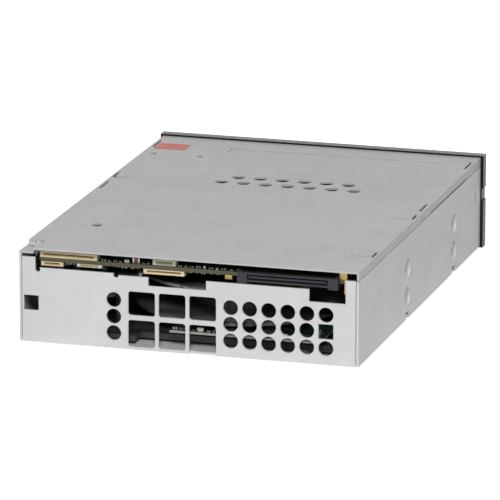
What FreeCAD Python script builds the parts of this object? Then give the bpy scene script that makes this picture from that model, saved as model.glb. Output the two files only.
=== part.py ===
import FreeCAD, Part
import math
import os
from types import SimpleNamespace

import Sketcher

# Half-height 5.25-inch internal tape drive with its single-reel cartridge loader.
# X is across the drive, -Y the front with the bezel, +Y the rear connector panel, +Z up.
# The origin is under the middle of the drive, level with the bezel's lowest edge.
# Heights below are measured from the chassis underside, which lies bezel_drop above it.

DIMENSIONS = {
    # chassis envelope and sheet metal
    "body_w": 146.0, "body_d": 205.8, "body_h": 40.2, "sheet_t": 1.0, "cover_t": 0.8,
    "flange_h": 3.8, "seam": 0.3, "slit_w": 0.4, "flap_gap": 0.5, "flap_slit_w": 0.8,
    # bezel
    "bezel_w": 148.6, "bezel_h": 41.6, "bezel_t": 7.0, "bezel_drop": 0.6, "bezel_wall": 1.8,
    "bezel_face": 2.2, "bezel_chamfer": 2.0, "trim_depth": 0.7, "trim_margin": 4.0,
    # mounting holes of the 5.25-inch form factor
    "mount_first": 47.4, "mount_pitch": 79.24, "side_hole_low": 9.9, "side_hole_high": 21.84,
    "bottom_hole_w": 139.7, "mount_hole_r": 1.5, "dimple_r": 4.4, "dimple_depth": 1.0,
    "collar_r": 2.6, "collar_length": 0.8,
    "wall_foot_l": 5.0, "wall_foot_h": 0.7, "wall_slot_z": 2.3, "wall_slot_h": 1.2,
    # rear panel outline
    "post_h": 36.3, "left_post_x": 66.0, "cable_edge_z": 31.9, "relief_x": 31.0,
    "relief_r": 1.1, "step_edge_z": 31.2, "dip_x": 17.0, "dip_z": 27.6, "host_edge_x": -7.9,
    "host_edge_z": 31.5, "power_notch_x": -51.9, "power_notch_z": 26.3, "right_post_x": -67.4,
    # rear panel openings
    "vent_r": 3.2, "vent_x": -18.4, "vent_pitch_x": 8.14, "vent_z": 6.9, "vent_pitch_z": 7.1,
    "vent_columns": 6, "vent_rows": 3, "side_vent_x": 31.9, "side_vent_z": 6.5,
    "square_hole": 6.4, "square_x": 67.75, "square_z": 16.7,
    "window_x": 25.7, "window_w": 11.6, "window_pitch": 13.15, "window_r": 1.2,
    "window_low_z": 1.2, "window_low_h": 11.4, "window_high_z": 14.6, "window_high_h": 10.2,
    # bezel snap arms and their wall slots
    "snap_y": 8.5, "snap_slot_w": 1.8, "snap_z": 23.5, "snap_h": 6.2, "snap_gap": 0.3,
    "snap_t": 1.2, "snap_reach": 11.0, "snap_notch": 0.6,
    # top cover features, measured back from the bezel's rear plane
    "cover_vent_r": 2.9, "cover_vent_pitch": 9.89, "front_vents_y": 64.8, "front_vents": 6,
    "rear_vents_y": 74.3, "rear_vents": 7, "vents_middle_x": -5.65,
    "access_hole_r": 2.35, "access_hole_x": 52.9, "access_hole_y": 161.7,
    "hook_r": 2.2, "hook_l": 10.6, "hook_depth": 0.5, "left_hook_y": 78.5,
    "right_hook_y": 114.0, "right_hook_pitch": 65.5, "hook_slot_l": 9.5, "hook_slot_w": 1.1,
    "panel_emboss_left": 37.0, "panel_emboss_right": -64.5, "panel_emboss_y": 13.5,
    "panel_emboss_l": 8.5, "panel_emboss_depth": 0.3,
    "bend_slot_front": 8.3, "bend_slot_rear": 86.7, "bend_slot_l": 13.5, "bend_slot_w": 1.0,
    "bend_slot_in": 1.3,
    "flap_slit_front": 24.3, "flap_slit_rear": 103.0, "flap_end": 88.0, "flap_hole_r": 0.6,
    "dart_front": 34.0, "dart_outer_x": 67.8, "dart_pitch": 21.2, "dart_w": 3.0,
    "dart_fore": 3.6, "dart_aft": 1.4, "pilot_x": 5.2, "pilot_r": 0.5,
    "dish_x": 69.0, "dish_y": 195.0, "dish_r": 4.4, "dish_mouth": 2.2, "dish_lift": 1.6,
    "cover_screw_head_r": 2.8, "cover_screw_head_h": 1.4, "cover_screw_r": 1.45,
    "cover_screw_l": 4.0, "tab_w": 6.6,
    "label_x": 56.0, "label_w": 14.0, "label_y": 13.9, "label_l": 10.4, "label_t": 0.1,
    # cartridge slot, door, eject button and lights
    "cartridge_w": 105.4, "cartridge_h": 21.5, "cartridge_d": 102.0, "cartridge_out": 16.6,
    "slot_gap": 0.6, "slot_z": 11.6, "slot_h": 23.0, "door_gap": 0.3, "door_t": 1.4,
    "door_overlap": 0.5, "door_hinge_z": 36.6, "door_hinge_back": 3.0, "door_pin_r": 1.0,
    "door_barrel_r": 1.6, "cheek_gap": 0.6, "cheek_t": 1.2, "spring_wire_r": 0.2,
    "spring_coil_r": 1.4, "spring_turns": 6, "spring_x": 40.0, "spring_l": 5.0,
    "spring_leg": 5.0,
    "button_x": 52.0, "button_z": 5.7, "button_w": 12.0, "button_h": 5.0, "button_gap": 0.15,
    "button_inset": 0.2, "button_lip": 1.0, "button_lip_t": 0.8, "button_stem_r": 1.5,
    "button_travel": 0.8, "switch_w": 6.0, "switch_t": 3.5, "plunger_r": 1.2,
    "plunger_out": 1.0, "plunger_l": 3.4,
    "light_x": -58.0, "light_pitch": 8.0, "lights": 4, "light_r": 1.3, "light_l": 7.9,
    "panel_board_y": 2.0, "panel_board_t": 1.2, "panel_board_w": 130.0,
    "panel_board_z": 1.7, "panel_board_h": 7.8, "panel_screw_x": 62.0, "panel_boss_r": 2.6,
    # machine screws shared by boards, plates and deck
    "screw_r": 1.25, "screw_l": 3.6, "screw_head_r": 2.3, "screw_head_h": 1.1,
    # deck
    "deck_w": 132.0, "deck_front": 12.0, "deck_rear": 202.0, "deck_t": 2.6,
    "deck_pad_h": 1.2, "deck_pad_r": 4.8, "deck_screw_x": 46.0, "deck_screw_y": 19.0,
    "deck_screw_pitch": 170.0, "deck_corner_r": 4.0, "deck_notch_x": 24.0,
    "deck_notch_y": 195.0,
    # cartridge loader
    "fit_gap": 0.05, "slide_gap": 0.1, "pin_r": 1.5, "plate_t": 1.2,
    "load_travel": 20.0, "drop_travel": 4.0, "cam_travel": 10.0,
    "carriage_front": 5.4, "carriage_gap": 0.7, "carriage_wall": 1.2, "ledge_w": 9.5,
    "carriage_floor_z": 12.3, "roof_ledge_w": 6.4, "roof_gap": 0.4,
    "roof_bar_y": 58.0, "roof_bar_l": 12.0, "nose_bar_y": 26.0, "nose_bar_l": 8.0,
    "stop_left": 20.0, "stop_right": -40.0,
    "shuttle_gap": 0.4, "shuttle_l": 76.0, "shuttle_z": 13.0, "shuttle_bar_y": 39.4,
    "shuttle_bar_l": 20.0, "shuttle_bar_t": 1.0, "shuttle_roof_gap": 0.3,
    "cam_gap": 0.5, "cam_l": 72.0, "cam_bar_y": 32.0, "cam_bar_l": 5.0, "cam_bar_t": 0.8,
    "guide_pin_y": 19.4, "guide_pin_pitch": 46.0, "guide_pin_z": 30.0,
    "cam_pin_y": 23.4, "cam_pin_pitch": 36.0, "cam_pin_z": 20.0,
    "side_plate_front": 6.0, "side_plate_rear": 108.0, "side_plate_top": 34.5,
    "foot_w": 6.0, "foot_l": 16.0, "foot_y": 17.0, "foot_pitch": 65.0,
    # loader drive: straight-toothed gears of one module
    "gear_module": 0.8, "idler_teeth": 30, "pinion_teeth": 12, "motor_teeth": 10,
    "backlash": 0.12, "gear_t": 2.5, "rack_t": 3.5, "rack_back": 2.76, "ear_l": 6.0,
    "ear_t": 2.0, "rack_run": 6.0, "idler_y": 101.4, "idler_z": 18.0, "idler_gap": 2.4,
    "motor_drop": 6.0, "motor_r": 6.0, "motor_l": 19.0, "motor_shaft_r": 0.8,
    "shaft_head_r": 2.6, "shaft_head_t": 0.8,
    # supply and take-up drives
    "supply_y": 54.4, "supply_stator_r": 18.0, "supply_hub_r": 17.0, "supply_shaft_r": 2.0,
    "clutch_r": 15.0, "clutch_tooth_l": 4.0, "clutch_tooth_w": 1.8, "clutch_tooth_h": 1.2,
    "clutch_teeth": 18,
    "takeup_x": -10.0, "takeup_y": 155.4, "reel_r": 46.0, "reel_hub_r": 22.0,
    "reel_hub_wall": 6.0, "reel_bore_r": 9.0, "reel_flange_t": 1.2, "reel_gap_h": 13.0, "reel_z": 11.8,
    "takeup_stator_r": 20.0, "rotor_r": 18.0, "rotor_wall": 2.0, "takeup_shaft_r": 2.5,
    "leader_slot_w": 9.0, "reel_screw_r": 0.9, "reel_screw_head_r": 1.8,
    "reel_screw_head_h": 0.8, "reel_screw_l": 6.0, "reel_screws": 3,
    # tape guides: two before and two after the head
    "roller_r": 5.5, "roller_flange": 1.0, "roller_z": 11.2, "roller_h": 15.4,
    "roller_outer_x": 49.0, "roller_inner_x": 57.0, "roller_y_1": 113.6,
    "roller_y_2": 124.9, "roller_y_3": 150.9, "roller_y_4": 163.4, "post_collar_r": 3.0,
    # head positioner
    "head_y": 137.9, "head_x": 57.4, "head_t": 3.6, "head_w": 9.0, "head_h": 7.0,
    "head_z": 19.0, "head_block_t": 5.8, "head_block_w": 11.2,
    "head_block_h": 5.4, "head_rod_x": 61.5, "head_rod_r": 1.0, "head_rod_spread": 4.6,
    "head_screw_r": 1.2, "head_base_w": 12.0, "head_base_l": 13.0, "head_base_t": 2.2,
    "head_wall_t": 1.6, "head_plate_z": 26.4, "head_plate_t": 1.0, "head_motor_r": 2.7,
    "head_motor_h": 4.0,
    # threading arm and link above the tape path
    "pivot_x": 32.0, "pivot_y": 194.9, "elbow_x": 55.85, "elbow_y": 151.0, "tip_x": 44.0,
    "tip_y": 102.4, "arm_z": 28.0, "arm_t": 1.4, "arm_r": 4.5, "link_gap": 0.4,
    "link_r": 3.5, "grabber_r": 3.0, "arm_teeth": 20, "thread_motor_h": 21.0,
    "pivot_post_r": 2.2,
    # electronics
    "board_t": 1.6, "main_board_z": 34.0, "main_board_left": 65.2, "main_board_right": -68.0,
    "main_board_front": 110.0, "main_board_rear": 202.3,
    "motor_board_z": 7.9, "motor_board_t": 1.0, "motor_board_left": 8.5, "motor_board_right": -56.0,
    "motor_board_front": 126.0, "motor_board_rear": 203.5, "motor_board_hole_gap": 0.6,
    "standoff_r": 2.5, "small_standoff_r": 2.0,
    "host_left": -20.8, "host_w": 43.0, "host_z": 32.4, "host_h": 3.9, "host_t": 2.4,
    "host_body_l": 7.0, "host_wall": 0.8, "host_end_w": 4.2, "host_end_drop": 0.9,
    "host_tongue_t": 0.8,
    "clip_x": -65.4, "clip_w": 3.2, "clip_t": 0.3, "clip_l": 3.0,
}


class Size:
    """A length with its value in millimetres and the spreadsheet expression that gives it."""

    def __init__(self, value, text=None):
        self.value = float(value)
        self.text = text

    def combine(self, other, sign, value):
        other = as_size(other)
        if self.text is None and other.text is None:
            return Size(value)
        return Size(value, f"({self.written()} {sign} {other.written()})")

    def written(self):
        return self.text if self.text is not None else repr(self.value)

    def __add__(self, other):
        return self.combine(other, "+", self.value + as_size(other).value)

    def __sub__(self, other):
        return self.combine(other, "-", self.value - as_size(other).value)

    def __mul__(self, other):
        return self.combine(other, "*", self.value * as_size(other).value)

    def __truediv__(self, other):
        return self.combine(other, "/", self.value / as_size(other).value)

    def __neg__(self):
        return self * -1

    def __radd__(self, other):
        return as_size(other) + self

    def __rsub__(self, other):
        return as_size(other) - self

    def __rmul__(self, other):
        return self * other


def as_size(number):
    return number if isinstance(number, Size) else Size(number)


def root(size):
    return Size(math.sqrt(size.value), f"sqrt({size.written()})")


doc = FreeCAD.newDocument("TapeDrive")
sheet = doc.addObject("Spreadsheet::Sheet", "Dims")
for row, (alias, number) in enumerate(DIMENSIONS.items(), start=1):
    sheet.set(f"A{row}", alias)
    sheet.set(f"B{row}", str(number))
    sheet.setAlias(f"B{row}", alias)
doc.recompute()
D = SimpleNamespace(**{alias: Size(sheet.get(alias), f"Dims.{alias}") for alias in DIMENSIONS})

nodes = []

# ---------------------------------------------------------------- drawing helpers

NORMAL_SIGN = {"XY": 1, "XZ": -1, "YZ": 1}
TOWARDS_LEFT = FreeCAD.Rotation(FreeCAD.Vector(0, 1, 0), 90)
TOWARDS_RIGHT = FreeCAD.Rotation(FreeCAD.Vector(0, 1, 0), -90)


def drive(thing, name, size):
    """Bind one property of a document object to the spreadsheet."""
    size = as_size(size)
    if size.text is not None:
        thing.setExpression(name, size.text)


def place(thing, x, y, z, rotation=None):
    x, y, z = as_size(x), as_size(y), as_size(z) + D.bezel_drop
    base = FreeCAD.Vector(x.value, y.value, z.value)
    thing.Placement = FreeCAD.Placement(base, rotation or FreeCAD.Rotation())
    for axis, size in zip("xyz", (x, y, z)):
        drive(thing, f"Placement.Base.{axis}", size)


def new_body(label, x=0, y=0, z=0, rotation=None):
    body = doc.addObject("PartDesign::Body", label)
    body.Label = label
    place(body, x, y, z, rotation)
    nodes.append(body)
    return body


def origin_feature(body, role):
    return next(part for part in body.Origin.OriginFeatures if part.Role == role)


def constrain(sketch, fixed, driven):
    """Add plain constraints, then those that a size drives, given as (kind, places, size)."""
    if fixed:
        sketch.addConstraint(fixed)
    first = sketch.ConstraintCount
    sketch.addConstraint([Sketcher.Constraint(kind, *places, size.value) for kind, places, size in driven])
    for index, (_, _, size) in enumerate(driven, start=first):
        drive(sketch, f"Constraints[{index}]", size)


def at_point(edge, end, x, y):
    return [("DistanceX", (-1, 1, edge, end), as_size(x)), ("DistanceY", (-1, 1, edge, end), as_size(y))]


def polygon(*corners):
    def draw(sketch):
        points = [FreeCAD.Vector(as_size(x).value, as_size(y).value, 0) for x, y in corners]
        first = sketch.GeometryCount
        count = len(points)
        following = [(index + 1) % count for index in range(count)]
        sketch.addGeometry([Part.LineSegment(points[i], points[j]) for i, j in enumerate(following)], False)
        joined = [Sketcher.Constraint("Coincident", first + i, 2, first + j, 1) for i, j in enumerate(following)]
        driven = []
        for index, (x, y) in enumerate(corners):
            driven += at_point(first + index, 1, x, y)
        constrain(sketch, joined, driven)
    return draw


def rect(x0, x1, y0, y1):
    return polygon((x0, y0), (x1, y0), (x1, y1), (x0, y1))


def box_about(x, y, width, height):
    x, y, width, height = (as_size(item) for item in (x, y, width, height))
    return rect(x - width / 2, x + width / 2, y - height / 2, y + height / 2)


def circle(x, y, radius):
    def draw(sketch):
        middle = FreeCAD.Vector(as_size(x).value, as_size(y).value, 0)
        radius_size = as_size(radius)
        edge = sketch.addGeometry(Part.Circle(middle, FreeCAD.Vector(0, 0, 1), radius_size.value), False)
        constrain(sketch, [], at_point(edge, 3, x, y) + [("Radius", (edge,), radius_size)])
    return draw


def hull(*discs):
    """Outline around discs (x, y, radius), listed anticlockwise: arcs joined by tangent lines."""
    def draw(sketch):
        sizes = [tuple(as_size(item) for item in disc) for disc in discs]
        middles = [FreeCAD.Vector(x.value, y.value, 0) for x, y, _ in sizes]
        radii = [radius.value for _, _, radius in sizes]
        count = len(sizes)
        headings = []
        for i in range(count):
            j = (i + 1) % count
            run = middles[j] - middles[i]
            lean = math.asin((radii[i] - radii[j]) / run.Length)
            headings.append(math.atan2(run.y, run.x) - math.pi / 2 + lean)
        first = sketch.GeometryCount
        edges = []
        for i in range(count):
            j = (i + 1) % count
            start, end = headings[i - 1], headings[i]
            while end < start:
                end += 2 * math.pi
            ring = Part.Circle(middles[i], FreeCAD.Vector(0, 0, 1), radii[i])
            edges.append(Part.ArcOfCircle(ring, start, end))
            outward = FreeCAD.Vector(math.cos(headings[i]), math.sin(headings[i]), 0)
            edges.append(Part.LineSegment(middles[i] + outward * radii[i], middles[j] + outward * radii[j]))
        sketch.addGeometry(edges, False)
        joined = []
        for edge in range(0, 2 * count, 2):
            after = first + (edge + 2) % (2 * count)
            joined.append(Sketcher.Constraint("Tangent", first + edge, 2, first + edge + 1, 1))
            joined.append(Sketcher.Constraint("Tangent", first + edge + 1, 2, after, 1))
        driven = []
        for index, (x, y, radius) in enumerate(sizes):
            driven += at_point(first + 2 * index, 3, x, y) + [("Radius", (first + 2 * index,), radius)]
        constrain(sketch, joined, driven)
    return draw


def rounded(x0, x1, y0, y1, radius):
    x0, x1, y0, y1 = (as_size(item) for item in (x0, x1, y0, y1))
    low_x, high_x, low_y, high_y = x0 + radius, x1 - radius, y0 + radius, y1 - radius
    corners = (low_x, low_y), (high_x, low_y), (high_x, high_y), (low_x, high_y)
    return hull(*((x, y, radius) for x, y in corners))


def draw_sketch(body, plane, level, outlines):
    sketch = body.newObject("Sketcher::SketchObject", body.Name + "_sketch")
    sketch.AttachmentSupport = [(origin_feature(body, plane + "_Plane"), "")]
    sketch.MapMode = "FlatFace"
    offset = as_size(level) * NORMAL_SIGN[plane]
    sketch.AttachmentOffset = FreeCAD.Placement(FreeCAD.Vector(0, 0, offset.value), FreeCAD.Rotation())
    drive(sketch, "AttachmentOffset.Base.z", offset)
    for outline in outlines:
        outline(sketch)
    return sketch


def pad(body, plane, low, high, *outlines):
    """Add material between two levels along the plane's axis."""
    start = high if plane == "XZ" else low
    feature = body.newObject("PartDesign::Pad", body.Name + "_pad")
    feature.Profile = draw_sketch(body, plane, start, outlines)
    depth = as_size(high) - low
    feature.Length = depth.value
    drive(feature, "Length", depth)
    return feature


def cut(body, plane, low, high, *outlines):
    """Remove material between two levels along the plane's axis."""
    start = low if plane == "XZ" else high
    feature = body.newObject("PartDesign::Pocket", body.Name + "_cut")
    feature.Profile = draw_sketch(body, plane, start, outlines)
    depth = as_size(high) - low
    feature.Length = depth.value
    drive(feature, "Length", depth)
    return feature


def turn(body, *profile):
    """Revolve a (radius, height) profile about the body's own Z axis."""
    feature = body.newObject("PartDesign::Revolution", body.Name + "_turned")
    feature.Profile = draw_sketch(body, "XZ", 0, [polygon(*profile)])
    feature.ReferenceAxis = (feature.Profile[0], ["V_Axis"])
    feature.Angle = 360
    return feature


def repeat_round(body, feature, count):
    pattern = body.newObject("PartDesign::PolarPattern", body.Name + "_ring")
    pattern.Originals = [feature]
    pattern.Axis = (origin_feature(body, "Z_Axis"), [""])
    pattern.Angle = 360
    drive(pattern, "Occurrences", count)
    body.Tip = pattern
    return pattern


def repeat_along(body, feature, role, pitch, count):
    pattern = body.newObject("PartDesign::LinearPattern", body.Name + "_row")
    pattern.Originals = [feature]
    pattern.Direction = (origin_feature(body, role), [""])
    pattern.Mode = "Spacing"
    pattern.Offset = as_size(pitch).value
    drive(pattern, "Offset", pitch)
    pattern.Occurrences = int(as_size(count).value)
    body.Tip = pattern
    return pattern


def between(side, near, far):
    """The two levels of a piece that lies from near to far out on one side of the middle."""
    return (as_size(near), as_size(far)) if side > 0 else (-as_size(far), -as_size(near))


SIDES = (1, -1)

# ---------------------------------------------------------------- shared places

half_w = D.body_w / 2
inner_w = half_w - D.sheet_t
front = (D.bezel_t - D.body_d) / 2
rear = (D.bezel_t + D.body_d) / 2
back_of_panel = rear - D.sheet_t
cover_under = D.body_h - D.cover_t
wall_top = D.body_h - D.flange_h - D.seam
tab_top = wall_top + D.dish_lift
mount_rows = (front + D.mount_first, front + D.mount_first + D.mount_pitch)

deck_z = D.sheet_t + D.deck_pad_h
deck_top = deck_z + D.deck_t
deck_screws = [(side * D.deck_screw_x, front + D.deck_screw_y + row * D.deck_screw_pitch)
               for side in SIDES for row in (0, 1)]

slot_half = D.cartridge_w / 2 + D.slot_gap
door_half = slot_half - D.door_gap
hinge_y = front - D.door_hinge_back
face_back = front - D.bezel_t + D.bezel_face
bezel_floor = D.bezel_wall - D.bezel_drop
bezel_ceiling = D.bezel_h - D.bezel_drop - D.bezel_wall
cheek_x = slot_half + D.cheek_gap

carriage_in = D.cartridge_w / 2 + D.carriage_gap
carriage_out = carriage_in + D.carriage_wall
shuttle_in = carriage_out + D.shuttle_gap
shuttle_out = shuttle_in + D.plate_t
cam_in = shuttle_out + D.cam_gap
cam_out = cam_in + D.plate_t
plate_in = cam_out + D.cam_gap
plate_out = plate_in + D.plate_t
foot_out = plate_out + D.foot_w
carriage_top = D.carriage_floor_z + D.cartridge_h + D.roof_gap + D.carriage_wall
carriage_start = front + D.carriage_front
carriage_stop = front - D.cartridge_out + D.cartridge_d
slot_r = D.pin_r + D.slide_gap
guide_pins = [front + D.guide_pin_y + row * D.guide_pin_pitch for row in (0, 1)]
cam_pins = [front + D.cam_pin_y + row * D.cam_pin_pitch for row in (0, 1)]
shuttle_rear = carriage_start + D.shuttle_l
shuttle_roof = carriage_top + D.shuttle_roof_gap
shuttle_top = shuttle_roof + D.shuttle_bar_t
cam_top = shuttle_top + D.cam_gap + D.cam_bar_t
cam_rear = shuttle_rear - D.ear_l
foot_screws = [(side * (plate_out + D.foot_w / 2), front + D.foot_y + D.foot_l / 2 + row * D.foot_pitch)
               for side in SIDES for row in (0, 1)]
foot_t = D.plate_t

idler_y = front + D.idler_y
rack_in = plate_out + D.idler_gap
gear_in = rack_in + D.rack_t + D.fit_gap * 10
gear_out = gear_in + D.gear_t
pinion_r = D.gear_module * D.pinion_teeth / 2
rack_pitch_z = D.idler_z + pinion_r
rack_top = rack_pitch_z + D.rack_back + D.gear_module
ear_z = rack_top - D.ear_t
rack_front = idler_y - D.load_travel - D.rack_run
rack_rear = idler_y + D.rack_run

board_top = D.main_board_z + D.board_t
# Standoff places, measured back from the bezel's rear plane
TALL_STANDOFFS = [(62.5, 114.4), (62.0, 161.4), (60.0, 185.4), (-62.0, 143.4), (-63.0, 176.4)]
SHORT_STANDOFFS = [(4.5, 129.4), (4.5, 190.0), (-52.0, 129.4), (-52.0, 190.0)]
tall_standoffs = [(x, front + y) for x, y in TALL_STANDOFFS]
short_standoffs = [(x, front + y) for x, y in SHORT_STANDOFFS]
motor_board_top = D.motor_board_z + D.motor_board_t
roller_places = [(D.roller_outer_x, front + D.roller_y_1), (D.roller_inner_x, front + D.roller_y_2),
                 (D.roller_inner_x, front + D.roller_y_3), (D.roller_outer_x, front + D.roller_y_4)]
takeup_y = front + D.takeup_y
head_y = front + D.head_y
pivot_y = front + D.pivot_y
elbow_y = front + D.elbow_y
tip_y = front + D.tip_y
arm_gear_r = D.gear_module * D.arm_teeth / 2
motor_gear_r = D.gear_module * D.motor_teeth / 2
thread_motor_x = D.pivot_x + arm_gear_r + motor_gear_r

# ---------------------------------------------------------------- chassis and cover


def chassis_tray():
    """Folded sheet tray: floor, two side walls and the perforated rear panel."""
    body = new_body("chassis_tray")
    pad(body, "XY", 0, D.sheet_t, rect(-half_w, half_w, front, rear))
    for side in SIDES:
        low, high = between(side, inner_w, half_w)
        pad(body, "YZ", low, high, rect(front, rear, 0, wall_top))
    panel_x = inner_w - D.seam
    pad(body, "XZ", back_of_panel, rear, polygon(
        (-panel_x, 0), (panel_x, 0), (panel_x, D.post_h), (D.left_post_x, D.post_h),
        (D.left_post_x, D.cable_edge_z), (D.relief_x, D.cable_edge_z), (D.relief_x, D.step_edge_z),
        (D.dip_x, D.step_edge_z), (D.dip_x, D.dip_z), (D.host_edge_x, D.dip_z),
        (D.host_edge_x, D.host_edge_z), (D.power_notch_x, D.host_edge_z),
        (D.power_notch_x, D.power_notch_z), (D.right_post_x, D.power_notch_z),
        (D.right_post_x, D.post_h), (-panel_x, D.post_h)))
    reliefs = [circle(D.relief_x, D.step_edge_z, D.relief_r),
               circle(D.left_post_x - D.relief_r, D.step_edge_z, D.relief_r)]
    for relief in reliefs:
        cut(body, "XZ", back_of_panel, rear, relief)
    cut(body, "XZ", back_of_panel, rear, *rear_vents())
    cut(body, "XZ", back_of_panel, rear, *rear_windows())
    cut(body, "XZ", back_of_panel, rear, box_about(D.square_x, D.square_z, D.square_hole, D.square_hole))
    tray_fixings(body)
    wall_feet(body)
    return body


def rear_vents():
    """Grid of round vents whose outermost middle one is square, and a column beside the windows."""
    outlines = []
    columns, rows = int(D.vent_columns.value), int(D.vent_rows.value)
    for column in range(columns):
        for row in range(rows):
            x, z = D.vent_x - column * D.vent_pitch_x, D.vent_z + row * D.vent_pitch_z
            if column == columns - 1 and row == 1:
                outlines.append(box_about(x, z, D.square_hole, D.square_hole))
            else:
                outlines.append(circle(x, z, D.vent_r))
    for row in range(rows):
        outlines.append(circle(D.side_vent_x, D.side_vent_z + row * D.vent_pitch_z, D.vent_r))
    return outlines


def rear_windows():
    """Two rows of three windows; the last lower one runs out through the bottom edge."""
    outlines = []
    for column in range(3):
        left = D.window_x - column * D.window_pitch
        low_start = D.window_low_z if column < 2 else -2 * D.window_r
        for start, top in ((low_start, D.window_low_z + D.window_low_h),
                           (D.window_high_z, D.window_high_z + D.window_high_h)):
            outlines.append(rounded(left - D.window_w, left, start, top, D.window_r))
    return outlines


def tray_fixings(body):
    """Dimpled mounting holes, snap slots, cover hooks and the tab under the cover screw."""
    side_spots = [(y, z) for y in mount_rows for z in (D.side_hole_low, D.side_hole_high)]
    for side in SIDES:
        collar_in = inner_w - D.dimple_depth
        low, high = between(side, collar_in, inner_w)
        pad(body, "YZ", low, high, *(circle(y, z, D.dimple_r + D.dimple_depth) for y, z in side_spots))
        low, high = between(side, collar_in - D.collar_length, collar_in)
        pad(body, "YZ", low, high, *(circle(y, z, D.collar_r) for y, z in side_spots))
        low, high = between(side, half_w - D.dimple_depth, half_w)
        cut(body, "YZ", low, high, *(circle(y, z, D.dimple_r) for y, z in side_spots))
        low, high = between(side, collar_in - D.collar_length, half_w)
        cut(body, "YZ", low, high, *(circle(y, z, D.mount_hole_r) for y, z in side_spots))
        low, high = between(side, inner_w, half_w)
        cut(body, "YZ", low, high, box_about(front + D.snap_y, D.snap_z, D.snap_slot_w, D.snap_h))
    floor_spots = [(side * D.bottom_hole_w / 2, y) for side in SIDES for y in mount_rows]
    collar_top = D.sheet_t + D.collar_length
    pad(body, "XY", D.sheet_t, collar_top, *(circle(x, y, D.collar_r) for x, y in floor_spots))
    cut(body, "XY", 0, collar_top, *(circle(x, y, D.mount_hole_r) for x, y in floor_spots))
    pad(body, "XY", D.sheet_t, deck_z, *(circle(x, y, D.deck_pad_r) for x, y in deck_screws))
    cut(body, "XY", 0, D.deck_pad_h, *(circle(x, y, D.deck_pad_r - D.sheet_t) for x, y in deck_screws))
    cut(body, "XY", D.deck_pad_h, deck_z, *(circle(x, y, D.screw_r) for x, y in deck_screws))
    hooks = [(1, D.left_hook_y), (-1, D.right_hook_y), (-1, D.right_hook_y + D.right_hook_pitch)]
    for side, distance in hooks:
        hook_z = cover_under - D.hook_depth - D.slide_gap
        low, high = between(side, inner_w - D.sheet_t, inner_w)
        y = front + distance
        pad(body, "YZ", low, high, box_about(y, wall_top - D.sheet_t, 2 * D.hook_r, 2 * D.sheet_t))
        low, high = between(side, inner_w - D.sheet_t, inner_w - D.slide_gap)
        pad(body, "YZ", low, high, rect(y - D.hook_r, y + D.hook_r, wall_top - D.sheet_t, hook_z))
    dish_y = front + D.dish_y
    pad(body, "YZ", inner_w, half_w, rect(dish_y + D.seam, rear, wall_top, tab_top))
    pad(body, "XY", tab_top - D.sheet_t, tab_top,
        rect(inner_w - D.tab_w, inner_w, dish_y - D.dish_r + D.sheet_t, dish_y + D.dish_r))
    cut(body, "XY", tab_top - D.sheet_t, tab_top, circle(D.dish_x, dish_y, D.cover_screw_r))


def wall_feet(body):
    """Short openings through each side wall and its bend, beside the bottom mounting holes."""
    for side in SIDES:
        low, high = between(side, inner_w, half_w)
        for y in mount_rows:
            cut(body, "YZ", low, high, box_about(y, 0, D.wall_foot_l, 2 * D.wall_foot_h))
            cut(body, "YZ", low, high, box_about(y, D.wall_slot_z, D.wall_foot_l, D.wall_slot_h))


def top_cover():
    """Lid with short side flanges, cooling holes, hook dimples and a dished screw corner."""
    body = new_body("top_cover")
    pad(body, "XY", cover_under, D.body_h, rect(-half_w, half_w, front, rear))
    for side in SIDES:
        low, high = between(side, half_w - D.cover_t, half_w)
        pad(body, "YZ", low, high, rect(front, rear, D.body_h - D.flange_h, cover_under))
    vents = []
    for count, distance in ((D.front_vents, D.front_vents_y), (D.rear_vents, D.rear_vents_y)):
        first_x = D.vents_middle_x + D.cover_vent_pitch * (count - 1) / 2
        for column in range(int(count.value)):
            vents.append(circle(first_x - column * D.cover_vent_pitch, front + distance, D.cover_vent_r))
    cut(body, "XY", cover_under, D.body_h, *vents)
    cut(body, "XY", cover_under, D.body_h, circle(D.access_hole_x, front + D.access_hole_y, D.access_hole_r))
    emboss_y = front + D.panel_emboss_y
    cut(body, "XY", D.body_h - D.panel_emboss_depth, D.body_h,
        rect(D.panel_emboss_right, D.panel_emboss_left, emboss_y, emboss_y + D.panel_emboss_l))
    for step in (0, 1):
        x, y = D.dart_outer_x - step * D.dart_pitch, front + D.dart_front
        cut(body, "XY", cover_under, D.body_h,
            polygon((x + D.dart_w / 2, y), (x - D.dart_w / 2, y - D.dart_fore),
                    (x - D.dart_w / 2, y + D.dart_aft)),
            circle(x - D.pilot_x, y, D.pilot_r))
    cover_hooks(body)
    cover_slits(body)
    cover_dish(body)
    return body


def cover_hooks(body):
    """Dimples over the tray's hooks, each with a slot at its outer end."""
    hooks = [(1, D.left_hook_y), (-1, D.right_hook_y), (-1, D.right_hook_y + D.right_hook_pitch)]
    for side, distance in hooks:
        y = front + distance
        deep = D.hook_r + D.hook_depth
        ends = [side * (half_w - D.cover_t - deep), side * (half_w - D.hook_l + D.hook_r)]
        low, high = (ends[1], ends[0]) if side > 0 else (ends[0], ends[1])
        pad(body, "XY", cover_under - D.hook_depth, cover_under, hull((low, y, deep), (high, y, deep)))
        cut(body, "XY", D.body_h - D.hook_depth, D.body_h, hull((low, y, D.hook_r), (high, y, D.hook_r)))
        low, high = between(side, half_w - D.cover_t - D.hook_slot_w, half_w - D.cover_t)
        slot_rear = y + D.hook_slot_w
        cut(body, "XY", cover_under - D.hook_depth, D.body_h,
            rect(low, high, slot_rear - D.hook_slot_l, slot_rear))


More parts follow.
